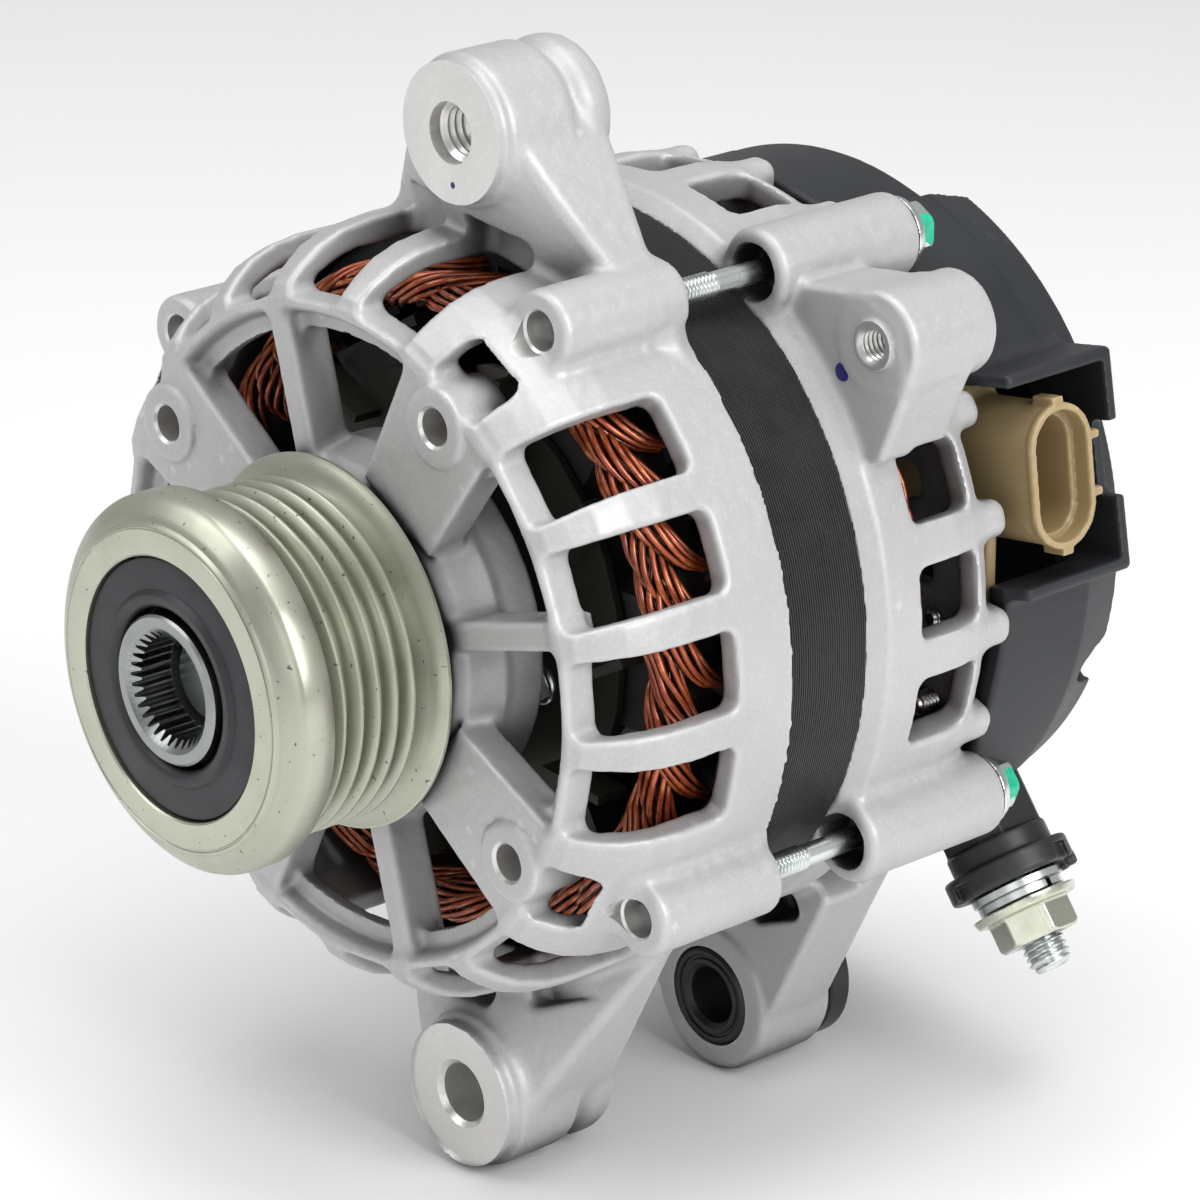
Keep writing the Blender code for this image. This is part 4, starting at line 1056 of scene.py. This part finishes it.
def through_bolts():
    """Four long bolts, with a daub of green paint on each head's side."""
    for index, angle in enumerate(BOLT_ANGLES):
        centre = polar(BOLT_R, angle)
        rod = threaded_rod(f"bolt_rod_{index + 1}", 1.8, 2.2, 0.8, 2.0, 76.4, centre, 34.0, 1.9)
        name = f"bolt_head_{index + 1}"
        head = hex_head(name, centre, HEAD_FLATS, 77.0, 81.4, 6.3, 75.5, ZINC, 13.0 * index)
        side = polar(4.4, 12.0)
        daubed(head, (centre[0] + side[0], 80.2, centre[1] + side[1]), 2.9, GREEN, index)
        bolt = joined(f"clamp_bolt_{index + 1}", [head, rod])
        placed(bolt, "housing", f"through_bolt_{index + 1}")


def cover_screws():
    for index, angle in enumerate(COVER_SCREW_ANGLES):
        centre = polar(COVER_SCREW_R, angle)
        rod = threaded_rod(f"cover_rod_{index + 1}", 1.75, 2.1, 0.8, 66.0, 93.0, centre)
        name = f"cover_head_{index + 1}"
        head = hex_head(name, centre, HEAD_FLATS, 93.1, 96.3, 4.9, 92.3, ZINC, 20.0 * index)
        bolt = joined(f"cover_bolt_{index + 1}", [head, rod])
        placed(bolt, "housing", f"cover_screw_{index + 1}")


def cross_screws():
    """Cross-recess screws: two hold the regulator and four hold the bearing retainer."""
    places = []     # node, centre, where the head sits, its top, its radius, and the rod's tip
    for i, centre in enumerate(REGULATOR_SCREWS):
        places.append((f"regulator_screw_{i + 1}", centre, 80.3, 82.6, 3.8, 69.0))
    for i, angle in enumerate(BOLT_ANGLES):
        centre = polar(RETAINER_SCREW_R, angle + RETAINER_SCREW_ANGLE)
        places.append((f"retainer_screw_{i + 1}", centre, 3.7, 5.0, 3.6, -7.0))
    for node, centre, seat, top, head_r, tip in places:
        head = [
            (0, seat), (head_r * 0.92, seat), (head_r, seat + 0.2), (head_r * 0.95, top - 0.5),
            (head_r * 0.7, top - 0.1), (0, top),
        ]
        body = turned(node + "_head", head, ZINC, 48, centre)
        for turn in (20, 110):
            bar_points = cross_bar(centre, head_r * 0.495, 0.378, turn)
            body = boolean(body, star_prism("recess", bar_points, top - 0.9, top + 2, ZINC), angle=30)
        rod = threaded_rod(node + "_rod", 1.55, 1.9, 0.7, tip, seat + 0.3, centre)
        placed(joined(node + "_turned", [body, rod]), "housing", node)


def cross_bar(centre, half_length, half_width, turn):
    """The outline of one bar of a cross recess."""
    cx, cz = centre
    c, s = polar(1, turn)
    corners = [(u * half_length, w * half_width) for u, w in ((-1, -1), (1, -1), (1, 1), (-1, 1))]
    return [(cx + u * c - w * s, cz + u * s + w * c) for u, w in corners]


# ---------------------------------------------------------------- rear cover and what it holds

COVER_FRONT_Y = 76.8
COVER_SCREW_R = 55.0
COVER_SCREW_ANGLES = (118.0, 212.0, 340.0)
REGULATOR_SCREWS = ((21.5, 46.0), (52.0, -4.0))
TERMINAL_ANGLE = -52.0
TERMINAL_Y = 96.0
CONNECTOR_Y = 87.0
CONNECTOR_Z = 17.5
CONNECTOR_ROOT = 44.0
CONNECTOR_LEAN = 8.0
BAY_ANGLE = 10.0
BAY_LOW, BAY_HIGH = -10.5, 27.9
BAY_R = 66.7
BAY_REAR_Y = 101.7
BAY_WALL = 2.2
STEP_ANGLE = 69.0     # where the cover's raised part begins


def end_cover():
    """A moulded cup with a raised side, a hood round the connector and a slot for the terminal."""
    field = Field((-64, 75, -64), (78, 114, 64), 0.45)
    low_part = [
        (60.0, COVER_FRONT_Y), (60.6, 77.4), (60.6, 96.5), (57.6, 101.0), (51.0, 105.5), (0, 106.5), (0, 77),
    ]
    raised = [
        (61.4, COVER_FRONT_Y), (62.0, 77.4), (62.0, 97.0), (58.9, 107.4), (51.5, 111.0), (0, 111.0), (0, 77),
    ]
    field.add(turned_shape(low_part, 0.0))
    step = bar((0.0, -70.0), (70.0, 70.0), STEP_ANGLE - 90, 60, 120)
    field.add(both(turned_shape(raised), step), 0.8)
    field.cut(disc((16, -12), 20.0, 109.6, 116.0, edge=0.8), 0.8)
    low, high = (40.0, BAY_LOW), (BAY_R, BAY_HIGH)
    field.add(bar(low, high, BAY_ANGLE, COVER_FRONT_Y, BAY_REAR_Y, edge=0.8, corner=1.0), 2.4)
    inner = [(0, 104.6), (48.4, 103.4), (55.6, 99.2), (58.4, 95.6), (58.4, 70.0), (0, 70.0)]
    field.cut(turned_shape(inner), 0.5)
    low, high = (30.0, BAY_LOW + BAY_WALL), (90.0, BAY_HIGH - BAY_WALL)
    field.cut(bar(low, high, BAY_ANGLE, 60.0, BAY_REAR_Y - BAY_WALL, edge=0.6, corner=0.8), 0.3)
    field.cut(bar((62.6, 2.4), (90.0, 15.3), BAY_ANGLE, 90.0, 112.0, corner=0.8), 0.3)
    for angle in COVER_SCREW_ANGLES:
        centre = polar(COVER_SCREW_R, angle)
        post = disc(polar(COVER_SCREW_R - 0.5, angle), 7.0, 77.0, 97.0, edge=0.5)
        field.add(both(post, turned_shape(low_part)), 0.8)
        field.cut(disc(centre, 5.6, 92.0, 120.0, edge=0.3), 0.6)
        field.cut(disc(centre, 2.6, 70.0, 120.0), 0.2)
    field.cut(bar((35, -11.5), (90, 11.5), TERMINAL_ANGLE, 60, TERMINAL_Y + 8.6, edge=2.4), 0.6)
    for index in range(8):
        start = 14.0 + 9 * (index % 2)
        field.cut(bar((start, -1.4), (38.0, 1.4), 110 + 20 * index, 100, 120, corner=1.3), 0.5)
    placed(field.mesh("end_cover_moulding", PLASTIC), "housing", "end_cover")


def leaning(x, z):
    """Coordinates in the connector's own frame, which leans about its root."""
    turn = math.radians(CONNECTOR_LEAN)
    c, s = math.cos(turn), math.sin(turn)
    dx, dz = x - CONNECTOR_ROOT, z - CONNECTOR_Z
    return CONNECTOR_ROOT + dx * c + dz * s, dz * c - dx * s


def leaning_reach(x_from, x_to, y_from, y_to, up_from, up_to):
    """Low and high corners of a box in the connector's frame, with room for its lean."""
    return (x_from - 4, y_from, CONNECTOR_Z + up_from - 2), (x_to + 2, y_to, CONNECTOR_Z + up_to + 5)


def oblong(x_from, x_to, half_y, half_z, edge=0.0):
    """A stadium outline extruded out of the cover's side, in the connector's frame."""
    middle, half = (x_from + x_to) / 2, (x_to - x_from) / 2
    flat = half_z - half_y

    def distance(x, y, z):
        out, up = leaning(x, z)
        side = np.hypot(y - CONNECTOR_Y, np.maximum(np.abs(up) - flat, 0)) - half_y
        return rounded(side, np.abs(out - middle) - half, edge)

    low_y, high_y = CONNECTOR_Y - half_y, CONNECTOR_Y + half_y
    return leaning_reach(x_from, x_to, low_y, high_y, -half_z, half_z) + (distance,)


def tab(x_from, x_to, y_from, y_to, up_from, up_to):
    """A small upright block in the connector's frame."""
    upright = block((x_from, y_from, up_from), (x_to, y_to, up_to), 0.25)

    def distance(x, y, z):
        out, up = leaning(x, z)
        return upright[2](out, y, up)

    return leaning_reach(x_from, x_to, y_from, y_to, up_from, up_to) + (distance,)


def regulator():
    """The tan moulding: brush holder, electronics block, two fixing tabs and the connector."""
    field = Field((-14, 75, -12), (70, 99.5, 54), 0.36)
    field.add(block((-11.0, 78.0, 12.5), (12.0, 97.0, 34.0), 1.6))
    field.add(block((6.0, 78.0, 6.0), (45.0, 92.0, 34.6), 2.4), 1.5)
    field.add(block((15.5, 77.2, 33.0), (27.5, 80.0, 51.5), 1.2), 1.5)
    field.add(block((44.0, 77.2, -9.0), (57.0, 80.0, 12.0), 1.2), 1.5)
    field.add(oblong(42.0, 64.8, 7.0, 12.1, 0.3), 2.0)
    field.add(oblong(63.6, 65.0, 7.3, 12.4, 0.35), 0.4)
    y = CONNECTOR_Y
    for up in (5.4, -4.4):
        field.add(tab(62.4, 64.9, y + 6.6, y + 9.2, up - 0.7, up + 0.7), 0.3)
    for up in (12.6, -12.6):
        field.add(tab(60.0, 64.9, y - 1.3, y + 1.3, up - 0.9, up + 0.9), 0.3)
    field.cut(oblong(61.6, 75.0, 6.1, 11.2), 0.2)
    field.cut(oblong(48.0, 75.0, 5.0, 10.1, 0.6), 0.2)
    for y_from in (79.9, 89.4):
        field.cut(block((-4.3, y_from, 5.0), (4.3, y_from + 5.2, 31.0), 0.2), 0.2)
    for centre in REGULATOR_SCREWS:
        field.cut(disc(centre, 2.3, 70.0, 90.0), 0.2)
    placed(field.mesh("regulator_moulding", TAN), "housing", "regulator")


def at_terminal(obj):
    """Turns a piece drawn along +Y so that it points out of the terminal's side of the housing."""
    c, s = polar(1, TERMINAL_ANGLE)
    turn = Matrix(((-s, c, 0, 0), (0, 0, 1, 0), (c, s, 0, 0), (0, 0, 0, 1)))
    up = Matrix.Translation((0, DATUM_Y + TERMINAL_Y * MM, 0))
    obj.data.transform(up @ turn @ Matrix.Translation((0, -DATUM_Y, 0)))
    return obj


def output_terminal():
    """The charging terminal, drawn along +Y with its distance from the shaft as y."""
    tower = Field((-13, 46, -13), (13, 82, 13), 0.3)
    chamfered = [
        (-7.8, -4.6), (-4.6, -7.8), (4.6, -7.8), (7.8, -4.6),
        (7.8, 4.6), (4.6, 7.8), (-4.6, 7.8), (-7.8, 4.6),
    ]
    tower.add(outline_slab(chamfered, 47.0, 71.0, edge=0.5))
    tower.add(disc((0, 0), 9.3, 69.6, 74.0, edge=0.6), 0.4)
    tower.add(disc((0, 0), 11.5, 73.4, 77.8, edge=0.7), 0.3)
    tower.cut(disc((0, 0), 8.9, 76.8, 84.0, edge=0.3), 0.2)
    for angle in (20, 150, 265):
        tower.cut(bar((10.2, -2.2), (14.0, 2.2), angle, 75.0, 82.0, edge=0.3), 0.3)
    for angle in (58, 84):
        tower.add(bar((9.6, -1.5), (11.6, 1.5), angle, 76.8, 79.2, edge=0.5), 0.3)
    tower.cut(disc((0, 0), 4.3, 40.0, 90.0))
    placed(at_terminal(tower.mesh("terminal_tower", TOWER)), "housing", "terminal_insulator")

    washers = [
        (4.3, 78.15), (8.3, 78.15), (8.45, 78.3), (8.45, 79.5), (8.2, 79.65), (7.5, 79.7),
        (7.5, 79.8), (7.9, 79.9), (7.9, 81.1), (7.6, 81.3), (4.3, 81.3),
    ]
    stack = turned("terminal_washers", washers, ZINC, 96)
    slit = star_prism("slit", [(4.0, -0.7), (9.0, -0.2), (9.0, 0.9), (4.0, 0.4)], 79.75, 81.7, ZINC)
    placed(at_terminal(boolean(stack, slit, angle=30)), "housing", "terminal_collar")

    nut = hex_head("terminal_hex", (0, 0), 13.0, 82.8, 88.8, 9.4, 81.6, NUT, 12.0, dished=False)
    bore = turned("bore", [(0, 78), (4.2, 78), (4.2, 88.0), (4.9, 89.0), (4.9, 93), (0, 93)], NUT, 64)
    placed(at_terminal(boolean(nut, bore, angle=30)), "housing", "terminal_nut")

    inner, outer = 46.0, 94.3
    post = threaded_rod("terminal_rod", 3.35, 4.0, 1.25, inner, outer)
    head = hex_head("terminal_stud_head", (0, 0), 11.0, inner, 43.0, 0, inner, ZINC, 0.0, dished=False)
    flip = Matrix.Translation((0, 2 * DATUM_Y + (inner + outer) * MM, 0)) @ Matrix.Diagonal((1, -1, 1, 1))
    post.data.transform(flip)
    post.data.flip_normals()
    placed(at_terminal(joined("terminal_post", [head, post])), "housing", "terminal_stud")


# ---------------------------------------------------------------- pieces shown as they are modelled


def dress(names, look):
    """Gives CAD pieces that are shown as they are a worked material and rounded shading."""
    for name in names:
        obj = frame["nodes"][name]
        obj.data.materials.clear()
        obj.data.materials.append(look)
        smooth(obj, 32)


def dress_the_rest():
    """The nodes inside the housing, which are shown as they are modelled."""
    rings = ("inner_race", "outer_race", "ball_cage")
    races = [f"{end}_bearing_{ring}" for end in ("front", "rear") for ring in rings]
    diodes = [f"diode_{side}_{i}" for side in ("negative", "positive") for i in (1, 2, 3)]
    dress(["rotor_shaft", "clutch_roller_cage", *races, *diodes], STEEL)
    dress(["front_claw_pole", "rear_claw_pole"], IRON)
    dress(["front_fan", "rear_fan"], FAN_PLATE)
    dress(["bearing_retainer", "brush_spring_a", "brush_spring_b"], ZINC)
    dress(["field_bobbin"], NYLON)
    dress(["field_coil"], COPPER)
    dress(["slip_ring_front", "slip_ring_rear"], BRASS)
    dress(["slip_ring_sleeve"], PLASTIC)
    dress(["brush_a", "brush_b"], CARBON)
    dress(["rectifier_negative_plate", "rectifier_positive_plate"], MACHINED)
    dress(["stator_core"], LAMINATION)


# ---------------------------------------------------------------- stage


LAMPS = (
    # name, place, size and power
    ("key", (-0.55, -0.75, 0.95), 0.8, 5),
    ("front", (0.75, -0.95, 0.35), 0.7, 1.6),
    ("right", (1.1, 0.15, 0.6), 0.7, 9),
    ("top", (0.1, 0.1, 1.2), 1.0, 9),
)
LIT_POINT = (0, 0.06, 0)
FLOOR_REACH = 3.0     # metres each way
CAMERA_PLACE = (0.6203, -0.518 + DATUM_Y, 0.3118)
CAMERA_FORWARD = (-0.6932, 0.6257, -0.3578)
CAMERA_LENS = 157.28     # millimetres, on a 36 mm sensor


def into_scene(name, data):
    obj = bpy.data.objects.new(name, data)
    bpy.context.scene.collection.objects.link(obj)
    return obj


def aimed(direction):
    return Vector(direction).to_track_quat("-Z", "Y").to_euler()


def stage():
    """A plain floor just under the lower ear, pale surroundings and four soft lamps."""
    scene = bpy.context.scene
    scene.view_settings.view_transform = "Standard"
    world = bpy.data.worlds.new("studio")
    scene.world = world
    world.use_nodes = True
    world.node_tree.nodes["Background"].inputs["Color"].default_value = (1, 1, 1, 1)
    world.node_tree.nodes["Background"].inputs["Strength"].default_value = 0.42

    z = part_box("front_bracket")[0].z - 0.0005
    corners = [(u * FLOOR_REACH, v * FLOOR_REACH, z) for u, v in ((-1, -1), (1, -1), (1, 1), (-1, 1))]
    mesh = bpy.data.meshes.new("floor")
    mesh.from_pydata(corners, [], [(0, 1, 2, 3)])
    look = Look("floor", (0.93, 0.93, 0.93), 0.8)
    look.mix_in((0.9, 0.9, 0.905), look.ramp(look.noise(3), 0.3, 0.7, 0, 0.5))
    mesh.materials.append(look.material)
    into_scene("floor", mesh)

    for name, place, size, power in LAMPS:
        data = bpy.data.lights.new(name, "AREA")
        data.size = size
        data.energy = power
        lamp = into_scene(name, data)
        lamp.location = place
        lamp.rotation_euler = aimed(Vector(LIT_POINT) - Vector(place))


def camera():
    data = bpy.data.cameras.new("camera")
    data.sensor_width = 36
    data.lens = CAMERA_LENS
    data.clip_start = 0.01
    obj = into_scene("camera", data)
    obj.location = CAMERA_PLACE
    obj.rotation_euler = aimed(CAMERA_FORWARD)
    bpy.context.scene.camera = obj


front_bracket()
rear_bracket()
mounting_bush()
stator_core()
windings()
pulley_rim()
pulley_cap()
pulley_hub()
through_bolts()
cover_screws()
cross_screws()
end_cover()
regulator()
output_terminal()
dress_the_rest()
stage()
camera()
